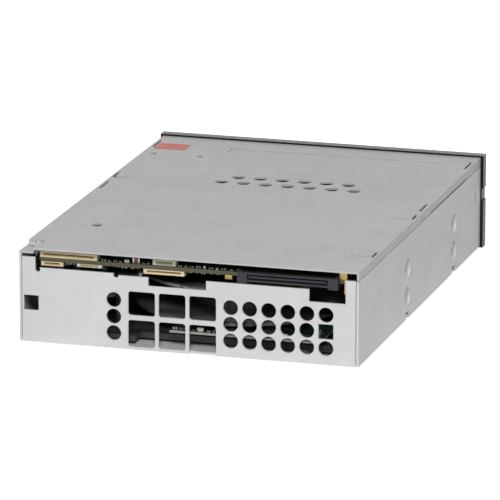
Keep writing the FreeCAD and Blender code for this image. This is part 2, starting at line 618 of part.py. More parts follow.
def cover_slits(body):
    """Springy flap in each flange: slots inside the bend, slits down to the edge, and a gap below."""
    flange_low = D.body_h - D.flange_h
    for side in SIDES:
        low, high = between(side, half_w - D.bend_slot_in - D.bend_slot_w, half_w - D.bend_slot_in)
        for distance in (D.bend_slot_front, D.bend_slot_rear):
            start = front + distance
            cut(body, "XY", cover_under, D.body_h, rect(low, high, start, start + D.bend_slot_l))
        low, high = between(side, half_w - D.cover_t, half_w)
        for distance in (D.flap_slit_front, D.flap_slit_rear):
            y = front + distance
            cut(body, "YZ", low, high, box_about(y, flange_low + D.flange_h / 2, D.flap_slit_w, D.flange_h))
        flap_start, flap_end = front + D.flap_slit_front, front + D.flap_end
        cut(body, "YZ", low, high, rect(flap_start, flap_end, flange_low, flange_low + D.flap_gap))
        for y in (flap_start, flap_end, front + D.flap_slit_rear):
            cut(body, "YZ", low, high, circle(y, flange_low + D.flap_gap / 2, D.flap_hole_r))


def cover_dish(body):
    """Corner sunk to the tray's tab, open towards the two outer edges."""
    x, y = D.dish_x, front + D.dish_y
    floor_z = tab_top + D.fit_gap
    floor_top = floor_z + D.cover_t
    cut(body, "XY", D.body_h - D.flange_h, D.body_h, circle(x, y, D.dish_r - D.cover_t / 2))
    cut(body, "XY", D.body_h - D.flange_h, D.body_h, rect(x, half_w, y, rear))
    pad(body, "XY", floor_z, D.body_h, circle(x, y, D.dish_r))
    pad(body, "XY", floor_z, floor_top, rect(x - D.dish_mouth, half_w, y, rear))
    cut(body, "XY", floor_top, D.body_h, circle(x, y, D.dish_r - D.cover_t))
    past_x, past_y = half_w + D.dish_r, rear + D.dish_r
    cut(body, "XY", floor_top, D.body_h, rect(x + D.dish_mouth, past_x, y - D.dish_mouth, past_y))
    cut(body, "XY", floor_top, D.body_h, rect(x - D.dish_mouth, past_x, y + D.dish_mouth, past_y))
    cut(body, "XY", floor_z, D.body_h, rect(half_w, past_x, y - 2 * D.dish_r, past_y))
    cut(body, "XY", floor_z, floor_top, circle(x, y, D.cover_screw_r))


def cover_screw():
    top = tab_top + D.fit_gap + D.cover_t
    body = new_body("cover_screw", D.dish_x, front + D.dish_y, top)
    turn(body, (0, -D.cover_screw_l), (D.cover_screw_r, -D.cover_screw_l), (D.cover_screw_r, 0),
         (D.cover_screw_head_r, 0), (D.cover_screw_head_r, D.cover_screw_head_h / 2),
         (D.cover_screw_head_r / 2, D.cover_screw_head_h), (0, D.cover_screw_head_h))
    reach = D.cover_screw_head_r * 0.6
    for wide, tall in ((reach * 2, reach / 3), (reach / 3, reach * 2)):
        cut(body, "XY", D.cover_screw_head_h / 3, D.cover_screw_head_h, box_about(0, 0, wide, tall))
    return body


def label():
    """Plain red sticker near the front corner of the lid."""
    body = new_body("label")
    y = front + D.label_y
    pad(body, "XY", D.body_h, D.body_h + D.label_t, rect(D.label_x, D.label_x + D.label_w, y, y + D.label_l))
    return body


# ---------------------------------------------------------------- bezel, door and button


def bezel():
    """Hollow front frame with the cartridge slot, door cheeks, snap arms and board bosses."""
    body = new_body("bezel")
    half = D.bezel_w / 2
    bottom, top = -D.bezel_drop, D.bezel_h - D.bezel_drop
    face = front - D.bezel_t
    block = pad(body, "XZ", face, front, rect(-half, half, bottom, top))
    doc.recompute()
    chamfer = body.newObject("PartDesign::Chamfer", "bezel_chamfer")
    chamfer.Base = (block, front_edges(block, face.value))
    chamfer.Size = D.bezel_chamfer.value
    drive(chamfer, "Size", D.bezel_chamfer)
    cut(body, "XZ", face_back, front, rect(-half + D.bezel_wall, half - D.bezel_wall, bezel_floor, bezel_ceiling))
    slot_top = D.slot_z + D.slot_h
    cut(body, "XZ", face, face + D.trim_depth,
        rect(-slot_half - D.trim_margin, slot_half + D.trim_margin, D.slot_z - D.trim_margin / 2,
             slot_top + D.trim_margin))
    cut(body, "XZ", face, face_back, rect(-slot_half, slot_half, D.slot_z, slot_top))
    for side in SIDES:
        cut(body, "XZ", face, front,
            box_about(side * half, D.snap_z, 2 * D.snap_notch, D.snap_h - D.snap_notch))
    cheek_low = D.slot_z - D.door_overlap - D.door_gap - D.cheek_t
    for side in SIDES:
        low, high = between(side, cheek_x, cheek_x + D.cheek_t)
        pad(body, "XZ", face_back, front, rect(low, high, cheek_low, bezel_ceiling))
    pad(body, "XZ", face_back, front, rect(-cheek_x, cheek_x, cheek_low, cheek_low + D.cheek_t))
    for side in SIDES:
        low, high = between(side, cheek_x, cheek_x + D.cheek_t)
        cut(body, "YZ", low, high, circle(hinge_y, D.door_hinge_z, D.door_pin_r))
    cut(body, "XZ", face, face_back, box_about(
        D.button_x, D.button_z, D.button_w + 2 * D.button_gap, D.button_h + 2 * D.button_gap))
    cut(body, "XZ", face, face_back, *(circle(x, D.button_z, D.light_r + D.fit_gap) for x in light_places()))
    bezel_fixings(body)
    return body


def front_edges(feature, level):
    """Names of the edges that lie in the front face."""
    names = []
    for index, edge in enumerate(feature.Shape.Edges, start=1):
        box = edge.BoundBox
        if abs(box.YMin - level) < 0.01 and abs(box.YMax - level) < 0.01:
            names.append(f"Edge{index}")
    return names


def light_places():
    return [D.light_x + index * D.light_pitch for index in range(int(D.lights.value))]


def bezel_fixings(body):
    board_back = front + D.panel_board_y
    for side in SIDES:
        spot = (side * D.panel_screw_x, D.button_z)
        pad(body, "XZ", face_back, board_back, circle(*spot, D.panel_boss_r))
        pilot = board_back + D.panel_board_t - D.screw_l
        cut(body, "XZ", pilot, board_back, circle(*spot, D.screw_r))
        arm_out = inner_w - D.snap_gap
        low, high = between(side, arm_out - D.snap_t, arm_out)
        pad(body, "XZ", face_back, front + D.snap_reach,
            box_about((low + high) / 2, D.snap_z, D.snap_t, D.snap_h + D.snap_t))
        low, high = between(side, arm_out, half_w - D.snap_gap)
        nub_w = D.snap_slot_w - D.snap_gap
        pad(body, "XZ", front + D.snap_y - nub_w / 2, front + D.snap_y + nub_w / 2,
            box_about((low + high) / 2, D.snap_z, high - low, D.snap_h - 2 * D.snap_gap))


def door_flap():
    """Cartridge door that hangs behind the slot and swings inwards about its top edge."""
    body = new_body("door_flap")
    bottom = D.slot_z - D.door_overlap
    pad(body, "XZ", hinge_y - D.door_t / 2, hinge_y + D.door_t / 2,
        rect(-door_half, door_half, bottom, D.door_hinge_z))
    pad(body, "YZ", -door_half, door_half, circle(hinge_y, D.door_hinge_z, D.door_barrel_r))
    cut(body, "YZ", -door_half, door_half, circle(hinge_y, D.door_hinge_z, D.door_pin_r + D.fit_gap))
    reach = D.spring_coil_r + D.spring_wire_r + D.door_gap
    gap_end = D.spring_x + D.spring_l + 2 * D.door_gap
    cut(body, "XZ", hinge_y - D.door_barrel_r, hinge_y + D.door_barrel_r,
        rect(D.spring_x - D.door_gap, gap_end, D.door_hinge_z - reach, D.door_hinge_z + reach))
    return body


def door_pin():
    body = new_body("door_pin")
    reach = cheek_x + D.cheek_t
    pad(body, "YZ", -reach, reach, circle(hinge_y, D.door_hinge_z, D.door_pin_r))
    return body


def door_spring():
    """Torsion spring around the hinge pin, with one leg lying on the door's inner face."""
    wire, coil, length = D.spring_wire_r.value, D.spring_coil_r.value, D.spring_l.value
    # Turned across the drive, the helix starts at the bottom of its circle and its leg hangs behind the door.
    path = Part.makeHelix(length / D.spring_turns.value, length, coil)
    ring = Part.Circle(FreeCAD.Vector(coil, 0, 0), FreeCAD.Vector(0, 1, 0), wire)
    turns = Part.Wire(path.Edges).makePipeShell([Part.Wire(ring.toShape())], True, True)
    leg_start, along_leg = FreeCAD.Vector(0, coil, wire), FreeCAD.Vector(1, 0, 0)
    leg = Part.makeCylinder(wire, coil + D.spring_leg.value, leg_start, along_leg)
    return new_shape("door_spring", turns.fuse(leg), D.spring_x, hinge_y, D.door_hinge_z, TOWARDS_LEFT)


def eject_button():
    body = new_body("eject_button")
    cap_front = front - D.bezel_t + D.button_inset
    lip_back = face_back + D.button_inset + D.button_lip_t
    pad(body, "XZ", cap_front, lip_back, box_about(D.button_x, D.button_z, D.button_w, D.button_h))
    pad(body, "XZ", lip_back - D.button_lip_t, lip_back,
        box_about(D.button_x, D.button_z, D.button_w + D.button_lip, D.button_h + D.button_lip))
    pad(body, "XZ", lip_back, plunger_front() - D.fit_gap, circle(D.button_x, D.button_z, D.button_stem_r))
    return body


def switch_front():
    return front + D.panel_board_y - D.switch_t


def plunger_front():
    return switch_front() - D.plunger_out


def eject_switch():
    body = new_body("eject_switch")
    pad(body, "XZ", switch_front(), front + D.panel_board_y,
        box_about(D.button_x, D.button_z, D.switch_w, D.switch_w))
    bore_end = plunger_front() + D.plunger_l + D.button_travel + D.slide_gap
    cut(body, "XZ", switch_front(), bore_end, circle(D.button_x, D.button_z, D.plunger_r + D.fit_gap))
    return body


def switch_plunger():
    body = new_body("switch_plunger")
    start = plunger_front()
    pad(body, "XZ", start, start + D.plunger_l, circle(D.button_x, D.button_z, D.plunger_r))
    return body


def light_pipes():
    body = new_body("light_pipes")
    start = front - D.bezel_t
    pad(body, "XZ", start, start + D.light_l, *(circle(x, D.button_z, D.light_r) for x in light_places()))
    return body


def front_board():
    """Narrow board behind the bezel with the lamps and the eject switch."""
    body = new_body("front_board")
    start = front + D.panel_board_y
    top = D.panel_board_z + D.panel_board_h
    pad(body, "XZ", start, start + D.panel_board_t,
        rect(-D.panel_board_w / 2, D.panel_board_w / 2, D.panel_board_z, top))
    cut(body, "XZ", start, start + D.panel_board_t,
        *(circle(side * D.panel_screw_x, D.button_z, D.screw_r) for side in SIDES))
    lamp_front = front - D.bezel_t + D.light_l + D.slide_gap
    lamps = [box_about(x, D.button_z, 2 * D.light_r, D.light_r) for x in light_places()]
    pad(body, "XZ", lamp_front, start, *lamps)
    return body


# ---------------------------------------------------------------- deck and fasteners


def base_deck():
    """Cast plate that carries the loader, both reel drives, the guides and the head."""
    body = new_body("base_deck")
    half = D.deck_w / 2
    pad(body, "XY", deck_z, deck_top,
        rounded(-half, half, front + D.deck_front, front + D.deck_rear, D.deck_corner_r))
    cut(body, "XY", deck_z, deck_top, rect(-half, D.deck_notch_x, front + D.deck_notch_y, front + D.deck_rear))
    pad(body, "XY", deck_top, D.arm_z - D.slide_gap, circle(D.pivot_x, pivot_y, D.pivot_post_r))
    pad(body, "XY", D.arm_z - D.slide_gap, D.arm_z + D.arm_t + D.slide_gap, circle(D.pivot_x, pivot_y, D.pin_r))
    spots = deck_screws + foot_screws
    cut(body, "XY", deck_z, deck_top, *(circle(x, y, D.screw_r) for x, y in spots))
    return body


def machine_screws():
    """Identical pan-head screws: deck from below, side plates, boards and bezel board."""
    body = new_body("machine_screws")
    groups = [
        ("XY", D.deck_pad_h, 1, deck_screws),
        ("XY", deck_top + foot_t, -1, foot_screws),
        ("XY", board_top, -1, tall_standoffs),
        ("XY", motor_board_top, -1, short_standoffs),
        ("XZ", front + D.panel_board_y + D.panel_board_t, -1,
         [(side * D.panel_screw_x, D.button_z) for side in SIDES]),
    ]
    for plane, seat, into, spots in groups:
        ends = sorted((seat, seat + into * D.screw_l), key=lambda size: size.value)
        pad(body, plane, *ends, *(circle(x, y, D.screw_r) for x, y in spots))
        ends = sorted((seat, seat - into * D.screw_head_h), key=lambda size: size.value)
        pad(body, plane, *ends, *(circle(x, y, D.screw_head_r) for x, y in spots))
        outer = seat - into * D.screw_head_h
        ends = sorted((outer, outer + into * D.screw_head_h / 2), key=lambda size: size.value)
        socket = D.screw_r
        cut(body, plane, *ends, *(hexagon(x, y, socket) for x, y in spots))
    return body


def hexagon(x, y, radius):
    angles = [math.pi * index / 3 for index in range(6)]
    return polygon(*((x + radius * math.cos(angle), y + radius * math.sin(angle)) for angle in angles))


# ---------------------------------------------------------------- cartridge loader


def side_plate(side):
    """Upright guide plate of the loader with two level slots and two screwed feet."""
    body = new_body("loader_plate_left" if side > 0 else "loader_plate_right")
    low, high = between(side, plate_in, plate_out)
    pad(body, "YZ", low, high,
        rect(front + D.side_plate_front, front + D.side_plate_rear, deck_top, D.side_plate_top))
    slots = [hull((y, D.guide_pin_z, slot_r), (y + D.load_travel, D.guide_pin_z, slot_r)) for y in guide_pins]
    cut(body, "YZ", low, high, *slots)
    foot_low, foot_high = between(side, plate_out, foot_out)
    for row in (0, 1):
        start = front + D.foot_y + row * D.foot_pitch
        pad(body, "XY", deck_top, deck_top + foot_t, rect(foot_low, foot_high, start, start + D.foot_l))
    spots = [spot for spot in foot_screws if spot[0].value * side > 0]
    cut(body, "XY", deck_top, deck_top + foot_t, *(circle(x, y, D.screw_r) for x, y in spots))
    if side < 0:
        gap = D.slide_gap * 2
        cut(body, "YZ", low, high, rect(rack_front - gap, rack_front + D.ear_l + D.load_travel + gap,
                                        ear_z - gap, rack_top + gap))
        cut(body, "YZ", low, high, circle(idler_y, D.idler_z, D.pin_r))
    return body


def shuttle():
    """Frame that carries the cartridge holder back, with the rack that drives it."""
    body = new_body("shuttle")
    pin_hole = [circle(y, D.guide_pin_z, D.pin_r) for y in guide_pins]
    for side in SIDES:
        low, high = between(side, shuttle_in, shuttle_out)
        pad(body, "YZ", low, high, rect(carriage_start, shuttle_rear, D.shuttle_z, shuttle_top))
        drops = [hull((y, D.cam_pin_z - D.drop_travel, slot_r), (y, D.cam_pin_z, slot_r)) for y in cam_pins]
        cut(body, "YZ", low, high, *drops)
        cut(body, "YZ", low, high, *pin_hole)
    bar_y = front + D.shuttle_bar_y
    pad(body, "XY", shuttle_roof, shuttle_top, rect(-shuttle_out, shuttle_out, bar_y, bar_y + D.shuttle_bar_l))
    ear_low, ear_high = between(-1, shuttle_out, rack_in)
    pad(body, "YZ", ear_low, ear_high, rect(rack_front, rack_front + D.ear_l, ear_z, rack_top))
    rack(body)
    return body


def rack(body):
    """Straight teeth facing down, with a gap exactly above the idler's shaft."""
    low, high = between(-1, rack_in, rack_in + D.rack_t)
    addendum, dedendum = D.gear_module * 0.8, D.gear_module * 1.05
    tip_z = rack_pitch_z - addendum
    pad(body, "YZ", low, high, rect(rack_front, rack_rear, tip_z, rack_top))
    pitch = D.gear_module * math.pi
    slope = math.tan(PRESSURE_ANGLE)
    mouth = (pitch / 2 + D.backlash) / 2 + addendum * slope
    root = (pitch / 2 + D.backlash) / 2 - dedendum * slope
    gaps = int((D.load_travel.value + D.rack_run.value) / pitch.value)
    first = idler_y - gaps * pitch
    tooth_gap = cut(body, "YZ", low, high, polygon(
        (first - mouth, tip_z), (first + mouth, tip_z), (first + root, rack_pitch_z + dedendum),
        (first - root, rack_pitch_z + dedendum)))
    after = int(D.rack_run.value / pitch.value)
    repeat_along(body, tooth_gap, "Y_Axis", pitch, gaps + 1 + after)


def shuttle_pins():
    """Four pins that run in the side plates' level slots and carry the cam slider."""
    body = new_body("shuttle_pins")
    for side in SIDES:
        low, high = between(side, shuttle_in, plate_out + D.cam_gap)
        pad(body, "YZ", low, high, *(circle(y, D.guide_pin_z, D.pin_r) for y in guide_pins))
    return body


def cam_slider():
    """Pair of cam plates joined over the top; their sloping slots lower the cartridge holder."""
    body = new_body("cam_slider")
    start = shuttle_rear - D.ear_l - D.cam_l
    for side in SIDES:
        low, high = between(side, cam_in, cam_out)
        pad(body, "YZ", low, high, rect(start, cam_rear, D.shuttle_z, cam_top))
        level = [hull((y - D.cam_travel, D.guide_pin_z, slot_r), (y, D.guide_pin_z, slot_r)) for y in guide_pins]
        sloped = [hull((y - D.cam_travel, D.cam_pin_z - D.drop_travel, slot_r), (y, D.cam_pin_z, slot_r))
                  for y in cam_pins]
        cut(body, "YZ", low, high, *level)
        cut(body, "YZ", low, high, *sloped)
    bar_y = front + D.cam_bar_y
    pad(body, "XY", cam_top - D.cam_bar_t, cam_top, rect(-cam_out, cam_out, bar_y, bar_y + D.cam_bar_l))
    low, high = between(-1, cam_in, cam_out)
    gap = D.slide_gap * 4
    cut(body, "YZ", low, high, rect(rack_front - D.cam_travel - gap, cam_rear, ear_z - gap, rack_top + gap))
    return body


def carriage():
    """Holder that takes the cartridge: side walls, floor and roof ledges, and a rear stop."""
    body = new_body("carriage")
    floor_z = D.carriage_floor_z - D.carriage_wall
    roof_z = carriage_top - D.carriage_wall
    roof_start = front + D.nose_bar_y
    end = carriage_stop + D.carriage_wall
    for side in SIDES:
        low, high = between(side, carriage_in, carriage_out)
        pad(body, "YZ", low, high, rect(carriage_start, end, floor_z, carriage_top))
        low, high = between(side, carriage_in - D.ledge_w, carriage_in)
        pad(body, "XY", floor_z, D.carriage_floor_z, rect(low, high, carriage_start, end))
        low, high = between(side, carriage_in - D.roof_ledge_w + D.carriage_wall, carriage_in)
        pad(body, "XY", roof_z, carriage_top, rect(low, high, roof_start, end))
    for start, length in ((D.nose_bar_y, D.nose_bar_l), (D.roof_bar_y, D.roof_bar_l)):
        pad(body, "XY", roof_z, carriage_top,
            rect(-carriage_out, carriage_out, front + start, front + start + length))
    pad(body, "XY", floor_z, D.carriage_floor_z,
        rect(-carriage_in, carriage_in, end - D.ledge_w, end))
    pad(body, "XZ", carriage_stop, end, rect(D.stop_right, D.stop_left, D.carriage_floor_z, carriage_top))
    for side in SIDES:
        low, high = between(side, carriage_in, carriage_out)
        cut(body, "YZ", low, high, *(circle(y, D.cam_pin_z, D.pin_r) for y in cam_pins))
    return body


def carriage_pins():
    """Four pins pressed in the holder; they stand in the shuttle's and the cam's slots."""
    body = new_body("carriage_pins")
    for side in SIDES:
        low, high = between(side, carriage_in, cam_out)
        pad(body, "YZ", low, high, *(circle(y, D.cam_pin_z, D.pin_r) for y in cam_pins))
    return body


# ---------------------------------------------------------------- gears and motors

PRESSURE_ANGLE = math.radians(25)


def involute_outline(teeth, first_angle):
    """Face of a stub-toothed gear with one tooth centred on first_angle (radians)."""
    module = D.gear_module.value
    pitch_r = module * teeth / 2
    base_r = pitch_r * math.cos(PRESSURE_ANGLE)
    root_r, tip_r = pitch_r - 1.05 * module, pitch_r + 0.8 * module
    half_tooth = math.pi / (2 * teeth) - D.backlash.value / (2 * pitch_r)
    half_at_base = half_tooth + involute(PRESSURE_ANGLE)
    radii = [root_r] + [base_r + (tip_r - base_r) * step / 4 for step in range(5)]
    flank = []
    for radius in radii:
        lean = involute(math.acos(base_r / radius)) if radius > base_r else 0
        flank.append((radius, half_at_base - lean))
    points = []
    for tooth in range(teeth):
        middle = first_angle + 2 * math.pi * tooth / teeth
        points += [(radius, middle - half) for radius, half in flank]
        points += [(radius, middle + half) for radius, half in reversed(flank)]
    corners = [FreeCAD.Vector(radius * math.cos(angle), radius * math.sin(angle), 0) for radius, angle in points]
    return Part.Face(Part.makePolygon(corners + corners[:1]))


def involute(angle):
    return math.tan(angle) - angle


def gear_solid(teeth, thickness, first_angle, start=0.0):
    face = involute_outline(teeth, first_angle)
    face.translate(FreeCAD.Vector(0, 0, start))
    return face.extrude(FreeCAD.Vector(0, 0, thickness))


def rod(radius, start, end):
    return Part.makeCylinder(radius, end - start, FreeCAD.Vector(0, 0, start))


def new_shape(label, shape, x, y, z, rotation=None):
    thing = doc.addObject("Part::Feature", label)
    thing.Label = label
    thing.Shape = shape
    place(thing, x, y, z, rotation)
    nodes.append(thing)
    return thing


def motor_place():
    """Axis of the loader motor, down and back from the idler by the gears' centre distance."""
    apart = D.gear_module * (D.idler_teeth + D.motor_teeth) / 2
    return idler_y + root(apart * apart - D.motor_drop * D.motor_drop), D.idler_z - D.motor_drop


def idler_gear():
    """Large wheel driven by the motor, in one piece with the pinion that drives the rack."""
    teeth, small = int(D.idler_teeth.value), int(D.pinion_teeth.value)
    # Local x points up and local y back once the axis lies across the drive.
    motor_y, motor_z = motor_place()
    to_motor = math.atan2((motor_y - idler_y).value, (motor_z - D.idler_z).value)
    start = rack_in - D.fit_gap * 4
    pinion = gear_solid(small, (gear_in - start).value, 0.0)
    wheel = gear_solid(teeth, D.gear_t.value, to_motor, (gear_in - start).value)
    bore = rod(D.pin_r.value + D.fit_gap.value, -1, (gear_out - start).value + 1)
    return new_shape("idler_gear", pinion.fuse(wheel).cut(bore).removeSplitter(),
                     -start, idler_y, D.idler_z, TOWARDS_RIGHT)


def motor_pinion():
    """Motor shaft with its pinion; a gap faces the idler's tooth on the line of centres."""
    teeth = int(D.motor_teeth.value)
    motor_y, motor_z = motor_place()
    to_idler = math.atan2((idler_y - motor_y).value, (D.idler_z - motor_z).value)
    gear = gear_solid(teeth, D.gear_t.value, to_idler + math.pi / teeth)
    shaft = rod(D.motor_shaft_r.value, -D.motor_l.value / 2, D.gear_t.value)
    return new_shape("motor_pinion", gear.fuse(shaft).removeSplitter(), -gear_in, motor_y, motor_z, TOWARDS_RIGHT)


def idler_shaft():
    body = new_body("idler_shaft", -plate_in, idler_y, D.idler_z, TOWARDS_RIGHT)
    boss_end = rack_in - plate_in - D.fit_gap * 6
    head = gear_out - plate_in + D.slide_gap
    turn(body, (0, 0), (D.pin_r, 0), (D.pin_r, D.plate_t), (D.shaft_head_r, D.plate_t),
         (D.shaft_head_r, boss_end), (D.pin_r, boss_end), (D.pin_r, head), (D.shaft_head_r, head),
         (D.shaft_head_r, head + D.shaft_head_t), (0, head + D.shaft_head_t))
    return body


def can_motor(label, length, x, y, z, rotation=None):
    body = new_body(label, x, y, z, rotation)
    bore = D.motor_shaft_r + D.fit_gap
    nose_r, edge = D.motor_r / 3, D.motor_r / 8
    turn(body, (bore, 0), (D.motor_r - edge, 0), (D.motor_r, edge), (D.motor_r, length),
         (nose_r, length), (nose_r, length + edge), (bore, length + edge))
    return body


def loader_motor():
    motor_y, motor_z = motor_place()
    start = gear_in - D.motor_l - D.motor_r / 4
    return can_motor("loader_motor", D.motor_l, -start, motor_y, motor_z, TOWARDS_RIGHT)


def motor_mount():
    """Block on the deck, bored for the loader motor."""
    body = new_body("motor_mount")
    motor_y, motor_z = motor_place()
    bore = D.motor_r + D.fit_gap
    wall = D.motor_r + D.plate_t + D.fit_gap
    middle = gear_in - D.motor_r / 4 - D.motor_l / 2
    low, high = between(-1, middle - D.motor_l / 3, middle + D.motor_l / 3)
    pad(body, "YZ", low, high, rect(motor_y - wall, motor_y + wall, deck_top, motor_z + wall))
    cut(body, "YZ", low, high, circle(motor_y, motor_z, bore))
    return body


# ---------------------------------------------------------------- reel drives


def supply_stator():
    body = new_body("supply_stator", 0, front + D.supply_y, deck_top)
    bore = D.supply_shaft_r + D.fit_gap
    coil_r = D.supply_stator_r / 3
    turn(body, (bore, 0), (D.supply_stator_r, 0), (D.supply_stator_r, D.board_t), (coil_r, D.board_t),
         (coil_r, D.board_t * 1.5), (bore, D.board_t * 1.5))
    return body


def supply_hub():
    """Turntable with a toothed ring that drives the cartridge's reel from below."""
    body = new_body("supply_hub", 0, front + D.supply_y, deck_top)
    disc_z = D.board_t * 1.5 + D.slide_gap * 2
    disc_top = disc_z + D.board_t
    nose = disc_top + D.board_t
    turn(body, (0, D.slide_gap), (D.supply_shaft_r, D.slide_gap), (D.supply_shaft_r, disc_z),
         (D.supply_hub_r, disc_z), (D.supply_hub_r, disc_top), (D.supply_hub_r / 3, disc_top),
         (D.supply_hub_r / 3, nose), (D.supply_shaft_r, nose + D.board_t / 2), (0, nose + D.board_t / 2))
    start = D.clutch_r - D.clutch_tooth_l
    tooth = pad(body, "XY", disc_top, disc_top + D.clutch_tooth_h,
                rect(start, D.clutch_r, -D.clutch_tooth_w / 2, D.clutch_tooth_w / 2))
    repeat_round(body, tooth, D.clutch_teeth)
    return body


def takeup_stator():
    body = new_body("takeup_stator", D.takeup_x, takeup_y, deck_top)
    bore = D.takeup_shaft_r + D.fit_gap
    coil_r = D.rotor_r - D.rotor_wall * 2
    coil_top = D.reel_z - deck_top - D.board_t * 2.25
    turn(body, (bore, 0), (D.takeup_stator_r, 0), (D.takeup_stator_r, D.reel_flange_t),
         (coil_r, D.reel_flange_t), (coil_r, coil_top), (bore, coil_top))
    return body


def takeup_rotor():
    """Outer-running rotor cup and shaft under the take-up reel."""
    body = new_body("takeup_rotor", D.takeup_x, takeup_y, deck_top)
    top = D.reel_z - deck_top
    plate = top - D.board_t
    skirt_in = D.rotor_r - D.rotor_wall
    skirt_z = D.reel_flange_t * 2
    turn(body, (0, D.slide_gap), (D.takeup_shaft_r, D.slide_gap), (D.takeup_shaft_r, plate),
         (skirt_in, plate), (skirt_in, skirt_z), (D.rotor_r, skirt_z), (D.rotor_r, top), (0, top))
    return body


def takeup_reel():
    """Machine reel: lower flange and hub, slotted for the tape's leader."""
    body = new_body("takeup_reel", D.takeup_x, takeup_y, D.reel_z)
    top = D.reel_flange_t + D.reel_gap_h
    wall_in = D.reel_hub_r - D.reel_hub_wall
    web = D.reel_flange_t * 2
    turn(body, (0, 0), (D.reel_r, 0), (D.reel_r, D.reel_flange_t), (D.reel_hub_r, D.reel_flange_t),
         (D.reel_hub_r, top), (wall_in, top), (wall_in, web), (0, web))
    half_slot = D.leader_slot_w / 2
    cut(body, "XY", web, top, rect(-D.reel_hub_r - D.reel_flange_t, -wall_in + half_slot, -half_slot, half_slot))
    cut(body, "XY", top - D.reel_screw_l, top, *reel_screw_spots(D.reel_screw_r))
    return body


def reel_screw_spots(radius):
    pitch_r = D.reel_hub_r - D.reel_hub_wall / 2
    count = int(D.reel_screws.value)
    angles = [2 * math.pi * index / count for index in range(count)]
    return [circle(pitch_r * math.cos(angle), pitch_r * math.sin(angle), radius) for angle in angles]


def reel_top_flange():
    """Smoke-tinted upper flange, screwed to the hub."""
    z = D.reel_z + D.reel_flange_t + D.reel_gap_h
    body = new_body("reel_top_flange", D.takeup_x, takeup_y, z)
    turn(body, (D.reel_bore_r, 0), (D.reel_r, 0), (D.reel_r, D.reel_flange_t), (D.reel_bore_r, D.reel_flange_t))
    cut(body, "XY", 0, D.reel_flange_t, *reel_screw_spots(D.reel_screw_r))
    cut(body, "XY", D.reel_flange_t - D.reel_screw_head_h, D.reel_flange_t, *reel_screw_spots(D.reel_screw_head_r))
    return body


def reel_screws():
    z = D.reel_z + 2 * D.reel_flange_t + D.reel_gap_h
    body = new_body("reel_screws", D.takeup_x, takeup_y, z)
    depth = D.reel_flange_t + D.reel_screw_l
    pad(body, "XY", -depth, -D.reel_screw_head_h, *reel_screw_spots(D.reel_screw_r))
    pad(body, "XY", -D.reel_screw_head_h, 0, *reel_screw_spots(D.reel_screw_head_r))
    return body


# ---------------------------------------------------------------- tape guides and head


def roller_posts():
    """Four guide posts on the deck, each with a collar below its roller and a nut above."""
    body = new_body("roller_posts")
    top = D.roller_z + D.roller_h
    collar_top = D.roller_z - D.slide_gap * 2
    pad(body, "XY", deck_top, collar_top, *(circle(x, y, D.post_collar_r) for x, y in roller_places))
    journal_end = top + D.slide_gap * 2
    pad(body, "XY", collar_top, journal_end, *(circle(x, y, D.pin_r) for x, y in roller_places))
    pad(body, "XY", journal_end, journal_end + D.shaft_head_t,
        *(circle(x, y, D.shaft_head_r) for x, y in roller_places))
    return body


def guide_roller(number):
    x, y = roller_places[number - 1]
    body = new_body(f"guide_roller_{number}", x, y, D.roller_z)
    bore, rim = D.pin_r + D.fit_gap, D.roller_r + D.roller_flange
    low, high = D.roller_flange, D.roller_h - D.roller_flange
    turn(body, (bore, 0), (rim, 0), (rim, low), (D.roller_r, low * 1.2), (D.roller_r, high - low * 0.2),
         (rim, high), (rim, D.roller_h), (bore, D.roller_h))
    return body


def head_base():
    """Foot and upright wall that hold the head's two rods and screw."""
    body = new_body("head_base")
    back = D.deck_w / 2
    y0, y1 = head_y - D.head_base_l / 2, head_y + D.head_base_l / 2
    pad(body, "XY", deck_top, deck_top + D.head_base_t, rect(back - D.head_base_w, back, y0, y1))
    pad(body, "XY", deck_top + D.head_base_t, D.head_plate_z, rect(back - D.head_wall_t, back, y0, y1))
    cut(body, "XY", deck_top, deck_top + D.head_base_t, *rod_spots(D.head_rod_r))
    return body


def rod_spots(radius):
    return [circle(D.head_rod_x, head_y + side * D.head_rod_spread, radius) for side in SIDES]


def head_top_plate():
    body = new_body("head_top_plate")
    back = D.deck_w / 2
    y0, y1 = head_y - D.head_base_l / 2, head_y + D.head_base_l / 2
    top = D.head_plate_z + D.head_plate_t
    pad(body, "XY", D.head_plate_z, top, rect(D.head_rod_x - D.post_collar_r, back, y0, y1))
    cut(body, "XY", D.head_plate_z, top, *rod_spots(D.head_rod_r))
    cut(body, "XY", D.head_plate_z, top, circle(D.head_rod_x, head_y, D.head_screw_r + D.fit_gap))
    return body


def head_rods():
    body = new_body("head_rods")
    pad(body, "XY", deck_top, D.head_plate_z + D.head_plate_t, *rod_spots(D.head_rod_r))
    return body


def head_motor():
    """Small stepper on the foot that turns the head's screw."""
    body = new_body("head_motor", D.head_rod_x, head_y, deck_top + D.head_base_t)
    bore = D.head_screw_r + D.fit_gap
    turn(body, (bore, 0), (D.head_motor_r, 0), (D.head_motor_r, D.head_motor_h), (bore, D.head_motor_h))
    return body


def head_screw():
    start = deck_top + D.head_base_t + D.fit_gap
    body = new_body("head_screw", D.head_rod_x, head_y, start)
    length = D.head_plate_z + D.head_plate_t - start
    turn(body, (0, 0), (D.head_screw_r, 0), (D.head_screw_r, length), (0, length))
    return body


def head_carriage():
    """Block that rides on the rods and is raised and lowered by the screw."""
    body = new_body("head_carriage")
    y0, y1 = head_y - D.head_block_w / 2, head_y + D.head_block_w / 2
    z0, z1 = D.head_z - D.head_block_h / 2, D.head_z + D.head_block_h / 2
    start = D.head_x
    pad(body, "XY", z0, z1, rect(start, start + D.head_block_t, y0, y1))
    cut(body, "XY", z0, z1, *rod_spots(D.head_rod_r + D.fit_gap))
    cut(body, "XY", z0, z1, circle(D.head_rod_x, head_y, D.head_screw_r + D.fit_gap))
    return body


